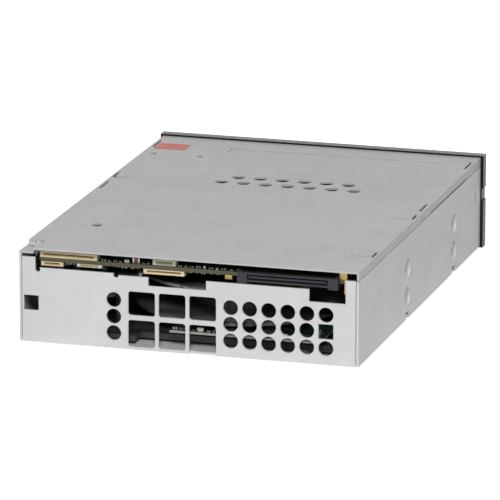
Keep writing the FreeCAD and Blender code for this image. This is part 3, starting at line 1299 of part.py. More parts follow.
def tape_head():
    """Read and write head with two rounded ridges facing the tape."""
    body = new_body("tape_head")
    z0, z1 = D.head_z - D.head_h / 2, D.head_z + D.head_h / 2
    ridge = D.head_t / 3
    y0, y1 = head_y - D.head_w / 2 + ridge, head_y + D.head_w / 2 - ridge
    pad(body, "XY", z0, z1, rect(D.head_x - D.head_t + ridge, D.head_x, y0 - ridge, y1 + ridge))
    for y in (y0, y1):
        pad(body, "XY", z0, z1, circle(D.head_x - D.head_t + ridge, y, ridge))
    return body


# ---------------------------------------------------------------- threading arm


def flat_run(x0, y0, x1, y1):
    return FreeCAD.Vector((x1 - x0).value, (y1 - y0).value, 0)


def threader_arm():
    """Toothed pivot, arm and elbow pin that carry the threading link over the reel."""
    elbow = flat_run(D.pivot_x, pivot_y, D.elbow_x, elbow_y)
    thick = D.arm_t.value
    gear = gear_solid(int(D.arm_teeth.value), thick, 0.0)
    bar = tapered_bar(elbow, D.arm_r.value, D.link_r.value, thick)
    pin = rod(D.pin_r.value, thick, thick + D.link_gap.value + D.arm_t.value + D.slide_gap.value)
    cap = rod(D.shaft_head_r.value, 0, D.slide_gap.value * 4)
    cap.translate(FreeCAD.Vector(0, 0, thick + D.link_gap.value + D.arm_t.value + D.slide_gap.value))
    for piece in (pin, cap):
        piece.translate(elbow)
    bore = rod(D.pin_r.value + D.fit_gap.value, -1, thick + 1)
    shape = gear.fuse([bar, pin, cap]).cut(bore).removeSplitter()
    return new_shape("threader_arm", shape, D.pivot_x, pivot_y, D.arm_z)


def tapered_bar(end, start_r, end_r, thick):
    """Flat bar around two discs, from the origin to the given end."""
    lean = math.asin((start_r - end_r) / end.Length)
    heading = math.atan2(end.y, end.x)
    corners = []
    for side, (middle, radius) in ((1, (FreeCAD.Vector(), start_r)), (1, (end, end_r)),
                                   (-1, (end, end_r)), (-1, (FreeCAD.Vector(), start_r))):
        angle = heading + side * (math.pi / 2 - lean)
        corners.append(middle + FreeCAD.Vector(math.cos(angle), math.sin(angle), 0) * radius)
    strip = Part.Face(Part.makePolygon(corners + corners[:1])).extrude(FreeCAD.Vector(0, 0, thick))
    tip = rod(end_r, 0, thick)
    tip.translate(end)
    return strip.fuse([rod(start_r, 0, thick), tip])


def threader_link():
    """Link hung from the elbow, with the grabber that fetches the tape's leader pin."""
    reach = flat_run(D.elbow_x, elbow_y, D.tip_x, tip_y)
    thick = D.arm_t.value
    bar = tapered_bar(reach, D.link_r.value, D.grabber_r.value, thick)
    grabber = rod(D.grabber_r.value, D.slide_gap.value - D.arm_t.value - D.link_gap.value, 0)
    grabber.translate(reach)
    bore = rod(D.pin_r.value + D.fit_gap.value, -1, thick + 1)
    shape = bar.fuse(grabber).cut(bore).removeSplitter()
    return new_shape("threader_link", shape, D.elbow_x, elbow_y, D.arm_z + D.arm_t + D.link_gap)


def threader_motor():
    return can_motor("threader_motor", D.thread_motor_h, thread_motor_x, pivot_y, deck_top)


def threader_pinion():
    teeth = int(D.motor_teeth.value)
    gear = gear_solid(teeth, D.arm_t.value, math.pi + math.pi / teeth)
    shaft = rod(D.motor_shaft_r.value, -D.motor_l.value / 2, D.arm_t.value)
    return new_shape("threader_pinion", gear.fuse(shaft).removeSplitter(), thread_motor_x, pivot_y, D.arm_z)


# ---------------------------------------------------------------- electronics


def main_board():
    """Controller board under the lid; its rear edge carries the cable sockets."""
    body = new_body("main_board")
    pad(body, "XY", D.main_board_z, board_top,
        rect(D.main_board_right, D.main_board_left, front + D.main_board_front, front + D.main_board_rear))
    cut(body, "XY", D.main_board_z, board_top, *(circle(x, y, D.screw_r) for x, y in tall_standoffs))
    return body


def motor_board():
    """Motor driver board around the take-up drive."""
    body = new_body("motor_board")
    top = motor_board_top
    pad(body, "XY", D.motor_board_z, top, rect(D.motor_board_right, D.motor_board_left,
                                               front + D.motor_board_front, front + D.motor_board_rear))
    cut(body, "XY", D.motor_board_z, top,
        circle(D.takeup_x, takeup_y, D.takeup_stator_r + D.motor_board_hole_gap))
    cut(body, "XY", D.motor_board_z, top, *(circle(x, y, D.screw_r) for x, y in short_standoffs))
    return body


def board_standoffs():
    """Round standoffs: tall ones under the main board, short ones under the motor board."""
    body = new_body("board_standoffs")
    pad(body, "XY", deck_top, D.main_board_z, *(circle(x, y, D.standoff_r) for x, y in tall_standoffs))
    pad(body, "XY", deck_top, D.motor_board_z,
        *(circle(x, y, D.small_standoff_r) for x, y in short_standoffs))
    for top, under, spots in ((board_top, D.main_board_z, tall_standoffs),
                              (motor_board_top, D.motor_board_z, short_standoffs)):
        cut(body, "XY", top - D.screw_l, under, *(circle(x, y, D.screw_r) for x, y in spots))
    return body


def host_connector():
    """Long black host plug on the main board's rear edge."""
    body = new_body("host_connector")
    board_rear = front + D.main_board_rear
    left, right = D.host_left, D.host_left - D.host_w
    pad(body, "XZ", board_rear - D.host_body_l, board_rear, rect(right, left, D.host_z, D.main_board_z))
    back = board_rear + D.host_t
    pad(body, "XZ", board_rear, back, rect(right, left, D.host_z, D.host_z + D.host_h))
    for start in (right, left - D.host_end_w):
        pad(body, "XZ", board_rear - D.host_body_l / 2, back,
            rect(start, start + D.host_end_w, D.host_z - D.host_end_drop, D.host_z))
    slot_left, slot_right = left - D.host_end_w, right + D.host_end_w
    slot_low, slot_high = D.host_z + D.host_wall, D.host_z + D.host_h - D.host_wall
    cut(body, "XZ", board_rear + D.slit_w, back, rect(slot_right, slot_left, slot_low, slot_high))
    middle = (slot_low + slot_high) / 2
    pad(body, "XZ", board_rear + D.slit_w, back - D.slit_w, rect(
        slot_right + D.host_wall, slot_left - D.host_wall, middle - D.host_tongue_t / 2,
        middle + D.host_tongue_t / 2))
    return body


# Cable sockets on the main board: left end, right end, depth, height, inset from the rear edge
TOP_SOCKETS = [(65.1, 40.2, 4.4, 2.5, 0.3), (16.4, 6.4, 4.0, 2.4, 1.0)]
LOW_SOCKETS = [(64.6, 55.0, 4.4, 2.0, 0.3), (49.0, 38.2, 4.0, 1.4, 0.3), (20.2, 2.6, 4.6, 2.2, 0.3)]


def ribbon_sockets():
    """Cream sockets for flat cables, above and below the board's rear edge."""
    body = new_body("ribbon_sockets")
    board_rear = front + D.main_board_rear
    placed = [(socket, board_top, 1) for socket in TOP_SOCKETS]
    placed += [(socket, D.main_board_z, -1) for socket in LOW_SOCKETS]
    for (left, right, depth, height, inset), level, way in placed:
        low, high = (level, level + height) if way > 0 else (level - height, level)
        back = board_rear - inset
        pad(body, "XZ", back - depth, back, rect(right, left, low, high))
        mouth = height * 0.4
        middle = (low + high) / 2
        cut(body, "XZ", back - depth / 2, back,
            rect(right + 1.5, left - 1.5, middle - mouth / 2, middle + mouth / 2))
    return body


# Packages on the main board: x, y, width, length, height
CHIPS = [(22.0, 52.0, 27.0, 27.0, 1.8), (-18.0, 50.0, 18.0, 10.0, 1.2), (-18.0, 66.0, 18.0, 10.0, 1.2),
         (-46.0, 60.0, 20.0, 20.0, 1.6), (20.0, 86.0, 12.0, 9.0, 1.4), (-34.0, 88.0, 10.0, 10.0, 1.4)]


def board_chips():
    body = new_body("board_chips")
    for x, y, width, length, height in CHIPS:
        pad(body, "XY", board_top, board_top + height, box_about(x, y, width, length))
    return body


def ground_clip():
    """Folded spring clip that earths the lid to the board."""
    body = new_body("ground_clip")
    y1 = front + D.main_board_rear - D.clip_t
    y0 = y1 - D.clip_l
    x0, x1 = D.clip_x - D.clip_w / 2, D.clip_x + D.clip_w / 2
    top = cover_under - D.fit_gap
    inner_top = top - D.clip_t
    pad(body, "YZ", x0, x1, polygon(
        (y0, board_top), (y1, board_top), (y1, top), (y0, top), (y0, inner_top), (y1 - D.clip_t, inner_top),
        (y1 - D.clip_t, board_top + D.clip_t), (y0, board_top + D.clip_t)))
    return body


# ---------------------------------------------------------------- build, check and write


def build():
    chassis_tray()
    top_cover()
    cover_screw()
    label()
    bezel()
    door_flap()
    door_pin()
    door_spring()
    eject_button()
    eject_switch()
    switch_plunger()
    light_pipes()
    front_board()
    base_deck()
    machine_screws()
    for side in SIDES:
        side_plate(side)
    shuttle()
    shuttle_pins()
    cam_slider()
    carriage()
    carriage_pins()
    idler_gear()
    idler_shaft()
    loader_motor()
    motor_pinion()
    motor_mount()
    supply_stator()
    supply_hub()
    takeup_stator()
    takeup_rotor()
    takeup_reel()
    reel_top_flange()
    reel_screws()
    roller_posts()
    for number in range(1, len(roller_places) + 1):
        guide_roller(number)
    head_base()
    head_top_plate()
    head_rods()
    head_motor()
    head_screw()
    head_carriage()
    tape_head()
    threader_arm()
    threader_link()
    threader_motor()
    threader_pinion()
    main_board()
    motor_board()
    board_standoffs()
    host_connector()
    ribbon_sockets()
    board_chips()
    ground_clip()


def check():
    """Stop if an object failed, a pocket cut nothing or a piece has no sound solid."""
    for thing in doc.Objects:
        if "Invalid" in thing.State or "Error" in thing.State:
            raise RuntimeError(f"{thing.Label} failed: {thing.State}")
        if thing.TypeId == "PartDesign::Pocket":
            before = thing.BaseFeature.Shape.Volume
            if thing.Shape.Volume > before - 1e-6:
                raise RuntimeError(f"{thing.Label} removes nothing")
    for node in nodes:
        if node.Shape.isNull() or not node.Shape.isValid() or not node.Shape.Solids:
            raise RuntimeError(f"{node.Label} has no sound solid")


def write():
    os.makedirs("parts", exist_ok=True)
    for node in nodes:
        node.Shape.exportStep(f"parts/{node.Label}.step")


build()
doc.recompute()
check()
write()
print(f"{len(nodes)} sub-parts written")
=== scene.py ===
import math

import bmesh
import bpy
from mathutils import Matrix, Vector


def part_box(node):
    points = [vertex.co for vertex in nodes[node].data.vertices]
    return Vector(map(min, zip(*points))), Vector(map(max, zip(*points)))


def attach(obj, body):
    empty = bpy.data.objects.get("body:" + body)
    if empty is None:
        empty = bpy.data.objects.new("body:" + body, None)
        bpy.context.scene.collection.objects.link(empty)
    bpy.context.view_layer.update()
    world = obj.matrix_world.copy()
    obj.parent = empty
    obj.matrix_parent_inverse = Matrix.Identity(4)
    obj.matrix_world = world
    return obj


MM = 0.001

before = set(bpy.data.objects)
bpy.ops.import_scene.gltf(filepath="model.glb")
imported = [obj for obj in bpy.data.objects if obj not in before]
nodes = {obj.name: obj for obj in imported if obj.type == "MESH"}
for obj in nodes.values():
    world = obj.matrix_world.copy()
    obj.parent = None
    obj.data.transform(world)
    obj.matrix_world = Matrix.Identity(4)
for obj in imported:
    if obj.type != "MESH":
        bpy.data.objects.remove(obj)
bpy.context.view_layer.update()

# ---------------------------------------------------------------- camera

CAMERA_AZIMUTH = math.radians(196.074)
CAMERA_ELEVATION = math.radians(14.633)
CAMERA_ROLL = math.radians(0.141)
CAMERA_DISTANCE = 2.53022
CAMERA_AIM = Vector((0.0, 0.0064, 0.0206))
CAMERA_SHIFT = (-0.002045, -0.000707)
CAMERA_LENS = 425.81
CAMERA_SENSOR = 36.0
CAMERA_CLIP = (0.1, 20.0)


def make_camera():
    """Long lens behind and above the drive, turned a little towards its right-hand wall."""
    azimuth, elevation = CAMERA_AZIMUTH, CAMERA_ELEVATION
    level = math.cos(elevation)
    back = Vector((math.sin(azimuth) * level, -math.cos(azimuth) * level, math.sin(elevation)))
    level_right = Vector((0, 0, 1)).cross(back).normalized()
    level_up = back.cross(level_right)
    right = math.cos(CAMERA_ROLL) * level_right + math.sin(CAMERA_ROLL) * level_up
    up = back.cross(right)
    data = bpy.data.cameras.new("camera")
    data.lens, data.sensor_width = CAMERA_LENS, CAMERA_SENSOR
    data.clip_start, data.clip_end = CAMERA_CLIP
    camera = bpy.data.objects.new("camera", data)
    bpy.context.scene.collection.objects.link(camera)
    place = CAMERA_AIM + back * CAMERA_DISTANCE + right * CAMERA_SHIFT[0] + up * CAMERA_SHIFT[1]
    turn = Matrix((right, up, back)).transposed().to_4x4()
    camera.matrix_world = Matrix.Translation(place) @ turn
    bpy.context.scene.camera = camera


make_camera()

# ---------------------------------------------------------------- materials

# The part of a noise pattern's range that colour and gloss follow; beyond it they are clamped
TONE_RANGE = (0.35, 0.65)
GLOSS_RANGE = (0.3, 0.7)
# Circuit boards: rows of tracks, size of the areas that carry them, and where two looks meet
TRACKS = {"Scale": 420.0, "Mortar Size": 0.05, "Brick Width": 1.7, "Row Height": 0.32}
ROUTED_AREAS = 130.0
ROUTED_BORDER = (0.25, 0.3)
RIM_BORDER = (0.4, 0.6)


def calculate(tree, operation, *terms):
    """Adds a Math node; each term is a number or a socket."""
    node = tree.nodes.new("ShaderNodeMath")
    node.operation = operation
    for socket, term in zip(node.inputs, terms):
        if isinstance(term, bpy.types.NodeSocket):
            tree.links.new(term, socket)
        else:
            socket.default_value = term
    return node.outputs[0]


class Paint:
    """A Principled material under construction, with helpers for object-space patterns."""

    def __init__(self, name, base, rough, metal=0.0, **sockets):
        self.material = bpy.data.materials.new(name)
        self.material.use_nodes = True
        self.tree = self.material.node_tree
        self.shader = self.tree.nodes["Principled BSDF"]
        self.base = (*base, 1.0)
        self.shader.inputs["Base Color"].default_value = self.base
        self.shader.inputs["Roughness"].default_value = rough
        self.shader.inputs["Metallic"].default_value = metal
        for socket, value in sockets.items():
            self.shader.inputs[socket].default_value = value
        self.material.diffuse_color = self.base

    def node(self, kind, **inputs):
        node = self.tree.nodes.new(kind)
        for key, value in inputs.items():
            node.inputs[key].default_value = value
        return node

    def link(self, source, target):
        self.tree.links.new(source, target)

    def coordinates(self, scale=(1, 1, 1)):
        texture = self.tree.nodes.new("ShaderNodeTexCoord")
        mapping = self.node("ShaderNodeMapping", Scale=scale)
        self.link(texture.outputs["Object"], mapping.inputs["Vector"])
        return mapping.outputs["Vector"]

    def noise(self, scale, stretch=(1, 1, 1), detail=4.0):
        noise = self.node("ShaderNodeTexNoise", Scale=scale, Detail=detail, Roughness=0.55)
        self.link(self.coordinates(stretch), noise.inputs["Vector"])
        return noise.outputs["Fac"]

    def ramp(self, source, low, high, value_low, value_high):
        """Maps source from low..high to value_low..value_high, clamped."""
        node = self.node("ShaderNodeMapRange")
        for index, value in enumerate((low, high, value_low, value_high), start=1):
            node.inputs[index].default_value = value
        self.link(source, node.inputs["Value"])
        return node.outputs["Result"]

    def blend(self, factor, first, second):
        """Colour mix; first and second are colours or sockets."""
        mix = self.tree.nodes.new("ShaderNodeMix")
        mix.data_type = "RGBA"
        for name, value in (("A", first), ("B", second)):
            socket = [item for item in mix.inputs if item.name == name and item.type == "RGBA"][0]
            if isinstance(value, bpy.types.NodeSocket):
                self.link(value, socket)
            else:
                socket.default_value = (*value[:3], 1.0)
        self.link(factor, mix.inputs["Factor"])
        return [item for item in mix.outputs if item.type == "RGBA"][0]

    def shade(self, source, spread):
        """Lets the base colour drift by spread either way along a pattern."""
        dark = [channel * (1 - spread) for channel in self.base[:3]]
        light = [min(1.0, channel * (1 + spread)) for channel in self.base[:3]]
        self.colour(self.blend(self.ramp(source, *TONE_RANGE, 0.0, 1.0), dark, light))

    def colour(self, socket):
        self.link(socket, self.shader.inputs["Base Color"])

    def roughness(self, source, value_low, value_high):
        gloss = self.ramp(source, *GLOSS_RANGE, value_low, value_high)
        self.link(gloss, self.shader.inputs["Roughness"])

    def bump(self, source, depth, strength):
        bump = self.node("ShaderNodeBump", Strength=strength, Distance=depth)
        self.link(source, bump.inputs["Height"])
        self.link(bump.outputs["Normal"], self.shader.inputs["Normal"])


def sheet_metal(name, base, rough, metal, cloud=60.0, grain=2600.0, spread=0.035, **sockets):
    """Plated sheet: cloudy tone, fine grain and slightly uneven gloss."""
    paint = Paint(name, base, rough, metal, **sockets)
    paint.shade(paint.noise(cloud), spread)
    paint.roughness(paint.noise(cloud * 5), rough - 0.05, rough + 0.06)
    paint.bump(paint.noise(grain, detail=2.0), depth=0.01 * MM, strength=0.35)
    return paint.material


def moulded(name, base, rough, grain=3500.0, depth=0.02, **sockets):
    """Moulded plastic with a fine spark-eroded texture, depth in mm."""
    paint = Paint(name, base, rough, **sockets)
    paint.shade(paint.noise(90.0), spread=0.08)
    paint.roughness(paint.noise(500.0), rough - 0.05, rough + 0.07)
    paint.bump(paint.noise(grain, detail=2.0), depth * MM, strength=0.5)
    return paint.material


def machined(name, base, rough):
    """Turned or ground bare metal with faint tool marks round its upright axis."""
    paint = Paint(name, base, rough, metal=1.0)
    marks = paint.noise(1200.0, (1, 1, 12), detail=3.0)
    paint.shade(marks, spread=0.06)
    paint.roughness(marks, rough - 0.04, rough + 0.08)
    paint.bump(marks, depth=0.004 * MM, strength=0.4)
    return paint.material


def upright_share(paint):
    """How far a face looks up or down: 1 on a board's faces, 0 on its edges."""
    geometry = paint.node("ShaderNodeNewGeometry")
    split = paint.node("ShaderNodeSeparateXYZ")
    paint.link(geometry.outputs["Normal"], split.inputs["Vector"])
    facing = calculate(paint.tree, "ABSOLUTE", split.outputs["Z"])
    return paint.ramp(facing, *RIM_BORDER, 0.0, 1.0)


def copper_pattern(paint, mask, copper):
    """Rows of tracks in some areas of the mask; gives the colour and the areas' height."""
    tracks = paint.node("ShaderNodeTexBrick", **TRACKS)
    paint.link(paint.coordinates(), tracks.inputs["Vector"])
    areas = paint.node("ShaderNodeTexVoronoi", Scale=ROUTED_AREAS)
    areas.distance = "MANHATTAN"
    paint.link(paint.coordinates(), areas.inputs["Vector"])
    plain = paint.ramp(areas.outputs["Distance"], *ROUTED_BORDER, 0.0, 1.0)
    routed = paint.blend(tracks.outputs["Fac"], copper, mask)
    return paint.blend(plain, routed, mask), plain


def laminate(name, mask, copper, edge):
    """Circuit board: masked copper tracks on its faces, bare laminate on its edges."""
    paint = Paint(name, mask, rough=0.38)
    face, height = copper_pattern(paint, mask, copper)
    weave = paint.noise(900.0, (1, 1, 9), detail=2.0)
    edge_dark = [channel * 0.7 for channel in edge]
    rim = paint.blend(weave, edge_dark, edge)
    paint.colour(paint.blend(upright_share(paint), rim, face))
    paint.bump(height, depth=0.03 * MM, strength=0.4)
    return paint.material


SATIN = {"Specular IOR Level": 0.3}
# The lid is the tray's zinc plate in a darker tone: painted shade for the top face
ZINC_LID_SHADED = sheet_metal("zinc_lid_shaded", (0.515, 0.515, 0.513), 0.52, 0.1, **SATIN)
ZINC_TRAY = sheet_metal("zinc_tray", (0.64, 0.645, 0.645), 0.5, 0.1, **SATIN)
# Pressed and carriage steel: their own grey, lowered further as painted shade for the insides seen
# through the vents
STEEL_SHADED = sheet_metal("pressed_steel_shaded", (0.30, 0.30, 0.31), 0.38, 0.9, cloud=120.0)
HOLDER_SHADED = sheet_metal("holder_steel", (0.34, 0.34, 0.34), 0.36, 0.9, cloud=90.0)
PLATED = machined("plated_screw", (0.52, 0.53, 0.55), 0.3)
GROUND = machined("ground_pin", (0.62, 0.62, 0.64), 0.18)
CAN = machined("motor_can", (0.38, 0.38, 0.40), 0.34)
# Near-black casting: its darkness is painted shade for the dark interior behind the rear windows
CAST_SHADED = sheet_metal("deck_casting", (0.055, 0.055, 0.058), 0.5, 0.4, cloud=200.0, grain=900.0,
                   spread=0.12)
ANODISED = machined("anodised_arm", (0.45, 0.46, 0.48), 0.32)
COIL = sheet_metal("coated_stack", (0.05, 0.05, 0.055), 0.6, 0.3, cloud=300.0)
HEAD = machined("head_block", (0.2, 0.2, 0.22), 0.22)
BLACK = moulded("bezel_black", (0.009, 0.009, 0.010), 0.3, **{"Specular IOR Level": 0.15})
DARK = moulded("moulded_dark", (0.018, 0.018, 0.019), 0.42, grain=1800.0)
HOST = moulded("host_black", (0.03, 0.031, 0.038), 0.4, grain=1500.0, **SATIN)
CHIP = moulded("chip_black", (0.012, 0.012, 0.014), 0.5, grain=5000.0, **SATIN)
CREAM = moulded("socket_cream", (0.78, 0.66, 0.42), 0.42, grain=1500.0)
ACETAL = moulded("gear_acetal", (0.72, 0.69, 0.6), 0.4, grain=1200.0)
WHITE = moulded("roller_white", (0.78, 0.77, 0.74), 0.3, grain=1200.0)
SMOKE = moulded("reel_smoke", (0.11, 0.11, 0.115), 0.14, grain=400.0, depth=0.006,
                **{"Specular IOR Level": 0.8})
# The flange's strong cloudy tone is partly the metal's own uneven tone and partly painted light
# patches and reflections
FLANGE_GLINTS = sheet_metal("reel_flange_painted_glints", (0.24, 0.24, 0.25), 0.16, 0.6, cloud=70.0, grain=300.0,
                     spread=0.55)
CLEAR = moulded("lamp_clear", (0.32, 0.42, 0.30), 0.15, grain=600.0, **{"Transmission Weight": 0.35})
RED = moulded("label_red", (0.56, 0.09, 0.065), 0.5, grain=2500.0, depth=0.008)
BRASS = machined("clip_brass", (0.42, 0.31, 0.12), 0.34)
GOLD = machined("contact_gold", (0.62, 0.44, 0.15), 0.25)
AMBER = moulded("slot_amber", (0.20, 0.105, 0.03), 0.45, grain=1500.0)
TIN = machined("solder_tin", (0.42, 0.42, 0.42), 0.35)
CERAMIC = moulded("part_tan", (0.26, 0.15, 0.085), 0.4, grain=1800.0)
RUST = moulded("part_rust", (0.30, 0.11, 0.05), 0.45, grain=1800.0)
# Dark tone of the standoffs is painted shade, keeping them dark inside the rear windows
POST_SHADED = machined("post_painted_shade", (0.16, 0.16, 0.17), 0.35)
GREYGREEN = moulded("socket_latch", (0.24, 0.27, 0.20), 0.45, grain=1500.0)
CHALK = moulded("socket_white", (0.80, 0.79, 0.70), 0.4, grain=1500.0)
BOARD = laminate("board_olive", (0.020, 0.045, 0.022), (0.05, 0.09, 0.035), (0.075, 0.068, 0.032))
BOARD_LOW = laminate("board_dark", (0.012, 0.035, 0.022), (0.04, 0.085, 0.045), (0.34, 0.35, 0.32))

FINISHES = {
    ZINC_LID_SHADED: ("top_cover",),
    ZINC_TRAY: ("chassis_tray",),
    PLATED: ("cover_screw", "machine_screws", "reel_screws"),
    RED: ("label",),
    BLACK: ("bezel", "door_flap", "eject_button"),
    GROUND: ("door_pin", "door_spring", "shuttle_pins", "carriage_pins", "idler_shaft", "roller_posts",
             "head_rods", "head_screw", "motor_pinion", "threader_pinion"),
    POST_SHADED: ("board_standoffs",),
    CHIP: ("eject_switch", "switch_plunger", "board_chips"),
    CLEAR: ("light_pipes",),
    BOARD: ("front_board", "main_board"),
    BOARD_LOW: ("motor_board",),
    CAST_SHADED: ("base_deck", "head_base"),
    STEEL_SHADED: ("loader_plate_left", "loader_plate_right", "shuttle", "cam_slider", "head_top_plate"),
    HOLDER_SHADED: ("carriage",),
    ACETAL: ("idler_gear",),
    CAN: ("loader_motor", "threader_motor", "head_motor", "takeup_rotor"),
    DARK: ("motor_mount", "supply_hub"),
    COIL: ("supply_stator", "takeup_stator"),
    SMOKE: ("takeup_reel",),
    FLANGE_GLINTS: ("reel_top_flange",),
    WHITE: ("guide_roller_1", "guide_roller_2", "guide_roller_3", "guide_roller_4"),
    HEAD: ("tape_head",),
    ANODISED: ("head_carriage", "threader_arm", "threader_link"),
    HOST: ("host_connector",),
    CREAM: ("ribbon_sockets",),
    BRASS: ("ground_clip",),
}


def finish_nodes():
    """Gives each node its material."""
    for material, names in FINISHES.items():
        for name in names:
            mesh = nodes[name].data
            mesh.materials.clear()
            mesh.materials.append(material)


def bevel_edges(piece, width, segments, least_angle):
    """Rounds the edges that turn by more than least_angle degrees; width in mm."""
    bevel = piece.modifiers.new("edges", "BEVEL")
    bevel.width, bevel.segments = width * MM, segments
    bevel.limit_method, bevel.angle_limit = "ANGLE", math.radians(least_angle)
    bevel.use_clamp_overlap = True


# Edge radius in mm, segments, nodes
SOFT_EDGES = (
    (0.4, 2, ("bezel", "door_flap", "eject_button")),
    (0.15, 2, ("host_connector", "ribbon_sockets", "board_chips", "motor_mount", "supply_hub")),
    (0.3, 2, ("base_deck", "head_base", "head_carriage")),
    (0.1, 1, ("chassis_tray", "top_cover", "carriage", "shuttle")),
)


def soften_nodes():
    """Breaks the sharp edges of the larger nodes."""
    for width, segments, names in SOFT_EDGES:
        for name in names:
            bevel_edges(nodes[name], width, segments, least_angle=50)


finish_nodes()
soften_nodes()

# ---------------------------------------------------------------- added pieces


def add_piece(name, mesh_builder, materials, body, bevel):
    """Makes one object from what mesh_builder puts in an empty mesh; bevel in mm."""
    mesh = bmesh.new()
    mesh_builder(mesh)
    bmesh.ops.recalc_face_normals(mesh, faces=mesh.faces)
    data = bpy.data.meshes.new(name)
    mesh.to_mesh(data)
    mesh.free()
    for material in materials:
        data.materials.append(material)
    piece = bpy.data.objects.new(name, data)
    bpy.context.scene.collection.objects.link(piece)
    bevel_edges(piece, bevel, segments=2, least_angle=40)
    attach(piece, body)


def block(mesh, low, high, index):
    """Adds one closed box between two corners, with a material index."""
    low, high = Vector(low), Vector(high)
    middle, size = (low + high) / 2, high - low
    matrix = Matrix.Translation(middle) @ Matrix.Diagonal((*size, 1))
    made = bmesh.ops.create_cube(mesh, size=1.0, matrix=matrix)
    for face in {face for vert in made["verts"] for face in vert.link_faces}:
        face.material_index = index


board_low, board_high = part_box("main_board")
low_board_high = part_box("motor_board")[1]

# Edge radius of the soldered parts, in mm
PART_EDGE = 0.04
# Chip parts: share of the width under each soldered end, and how far the solder stands proud
CAP_SHARE = 0.22
CAP_PROUD = 0.04 * MM
# Packages: gap under the body, reach and thickness of a lead, half its width as a share of the pitch
PACKAGE_STAND = 0.12 * MM
LEAD_REACH = 0.7 * MM
LEAD_THICK = 0.16 * MM
LEAD_SHARE = 0.2


class Parts:
    """Collects small boxes in one mesh; each box names the material it takes."""

    def __init__(self, *materials):
        self.materials = materials
        self.boxes = []

    def box(self, corner, opposite, material):
        low = tuple(map(min, corner, opposite))
        high = tuple(map(max, corner, opposite))
        self.boxes.append((low, high, self.materials.index(material)))

    def capped(self, x, y, z, size, material, way=1):
        """Chip part with soldered ends across its width, standing on z and growing along way."""
        half, half_depth, height = size[0] / 2 * MM, size[1] / 2 * MM, size[2] * MM
        x = x * MM
        top = z + way * height
        waist = half - 2 * half * CAP_SHARE
        self.box((x - waist, y - half_depth, z), (x + waist, y + half_depth, top), material)
        cap_top = top + CAP_PROUD if way > 0 else top
        for side in (-1, 1):
            self.box((x + side * waist, y - half_depth - CAP_PROUD, z),
                     (x + side * half, y + half_depth + CAP_PROUD, cap_top), TIN)

    def lead(self, left, right, edge, side, base, knee):
        """Bent lead from a body's edge: out at the knee's height, down, and out along the board."""
        bend = edge + side * LEAD_REACH / 2
        foot = edge + side * LEAD_REACH
        self.box((left, edge, knee), (right, bend, knee - LEAD_THICK), TIN)
        self.box((left, bend - side * LEAD_THICK, base), (right, bend, knee), TIN)
        self.box((left, bend, base), (right, foot, base + LEAD_THICK), TIN)

    def package(self, x, y, z, size, leads):
        """Small-outline package: black body over a row of bent leads on its two long sides."""
        width, depth, height = (value * MM for value in size)
        x = x * MM
        bottom = z + PACKAGE_STAND
        self.box((x - width / 2, y - depth / 2, bottom),
                 (x + width / 2, y + depth / 2, bottom + height), CHIP)
        pitch = width / leads
        for index in range(leads):
            middle = x - width / 2 + (index + 0.5) * pitch
            left, right = middle - pitch * LEAD_SHARE, middle + pitch * LEAD_SHARE
            for side in (-1, 1):
                self.lead(left, right, y + side * depth / 2, side, z, z + height / 2)

    def build(self, name, bevel):
        """Makes the piece; bevel in mm."""
        def fill(mesh):
            for low, high, index in self.boxes:
                block(mesh, low, high, index)
        add_piece(name, fill, self.materials, "frame", bevel)


# Parts along the main board's rear edge: place across, inset, (width, depth, height), material
TOP_EDGE_PARTS = (
    (37.6, 1.2, (1.6, 0.9, 0.7), CHIP), (35.2, 1.0, (1.0, 0.6, 0.5), CERAMIC),
    (32.6, 1.3, (1.2, 0.8, 0.6), CHIP), (30.4, 1.0, (1.0, 0.6, 0.5), CERAMIC),
    (27.6, 1.1, (2.0, 1.2, 1.2), CHALK), (23.7, 1.4, (3.0, 1.8, 2.2), RUST),
    (20.2, 1.0, (1.0, 0.6, 0.5), CHIP), (18.3, 1.2, (1.0, 0.6, 0.5), CERAMIC),
    (4.6, 1.0, (1.4, 0.8, 0.6), CHIP), (2.2, 1.2, (1.0, 0.6, 0.5), CERAMIC),
    (-0.4, 1.0, (1.2, 0.8, 0.6), CHIP), (-3.2, 1.3, (1.6, 0.9, 0.8), CHIP),
    # The pale parts at -5.9 and -11.3 are painted highlights: white blocks standing in for glints
    (-5.9, 1.0, (0.8, 0.5, 1.1), CHALK), (-8.6, 1.2, (1.4, 0.8, 0.6), CHIP),
    (-11.3, 1.0, (1.0, 0.6, 0.6), CHALK), (-14.0, 1.2, (1.6, 0.9, 0.6), CHIP),
    (-17.4, 1.0, (1.0, 0.6, 0.5), CERAMIC), (-20.6, 1.2, (1.2, 0.7, 0.6), CHIP),
    (-62.4, 1.0, (1.2, 0.7, 0.6), CHIP),
)
LOW_EDGE_PARTS = (
    (53.1, 1.1, (1.4, 1.0, 1.2), CHIP), (51.0, 1.0, (1.4, 1.0, 1.0), CHIP),
    (36.0, 1.0, (1.2, 0.7, 0.6), CHIP), (33.6, 1.2, (1.0, 0.6, 0.5), CERAMIC),
    (31.4, 1.0, (1.2, 0.7, 0.6), CHIP), (28.8, 1.3, (2.0, 1.2, 0.9), CHIP),
    (25.2, 1.2, (1.2, 0.8, 0.8), RUST), (22.8, 1.0, (1.0, 0.6, 0.5), CHIP),
    (0.2, 1.0, (1.2, 0.7, 0.6), CHIP), (-2.6, 1.2, (1.0, 0.6, 0.5), CERAMIC),
    (-5.4, 1.0, (1.6, 0.9, 0.7), CHIP), (-8.8, 1.2, (1.0, 0.6, 0.5), CHALK),
    (-11.8, 1.0, (1.2, 0.7, 0.6), CHIP),
)


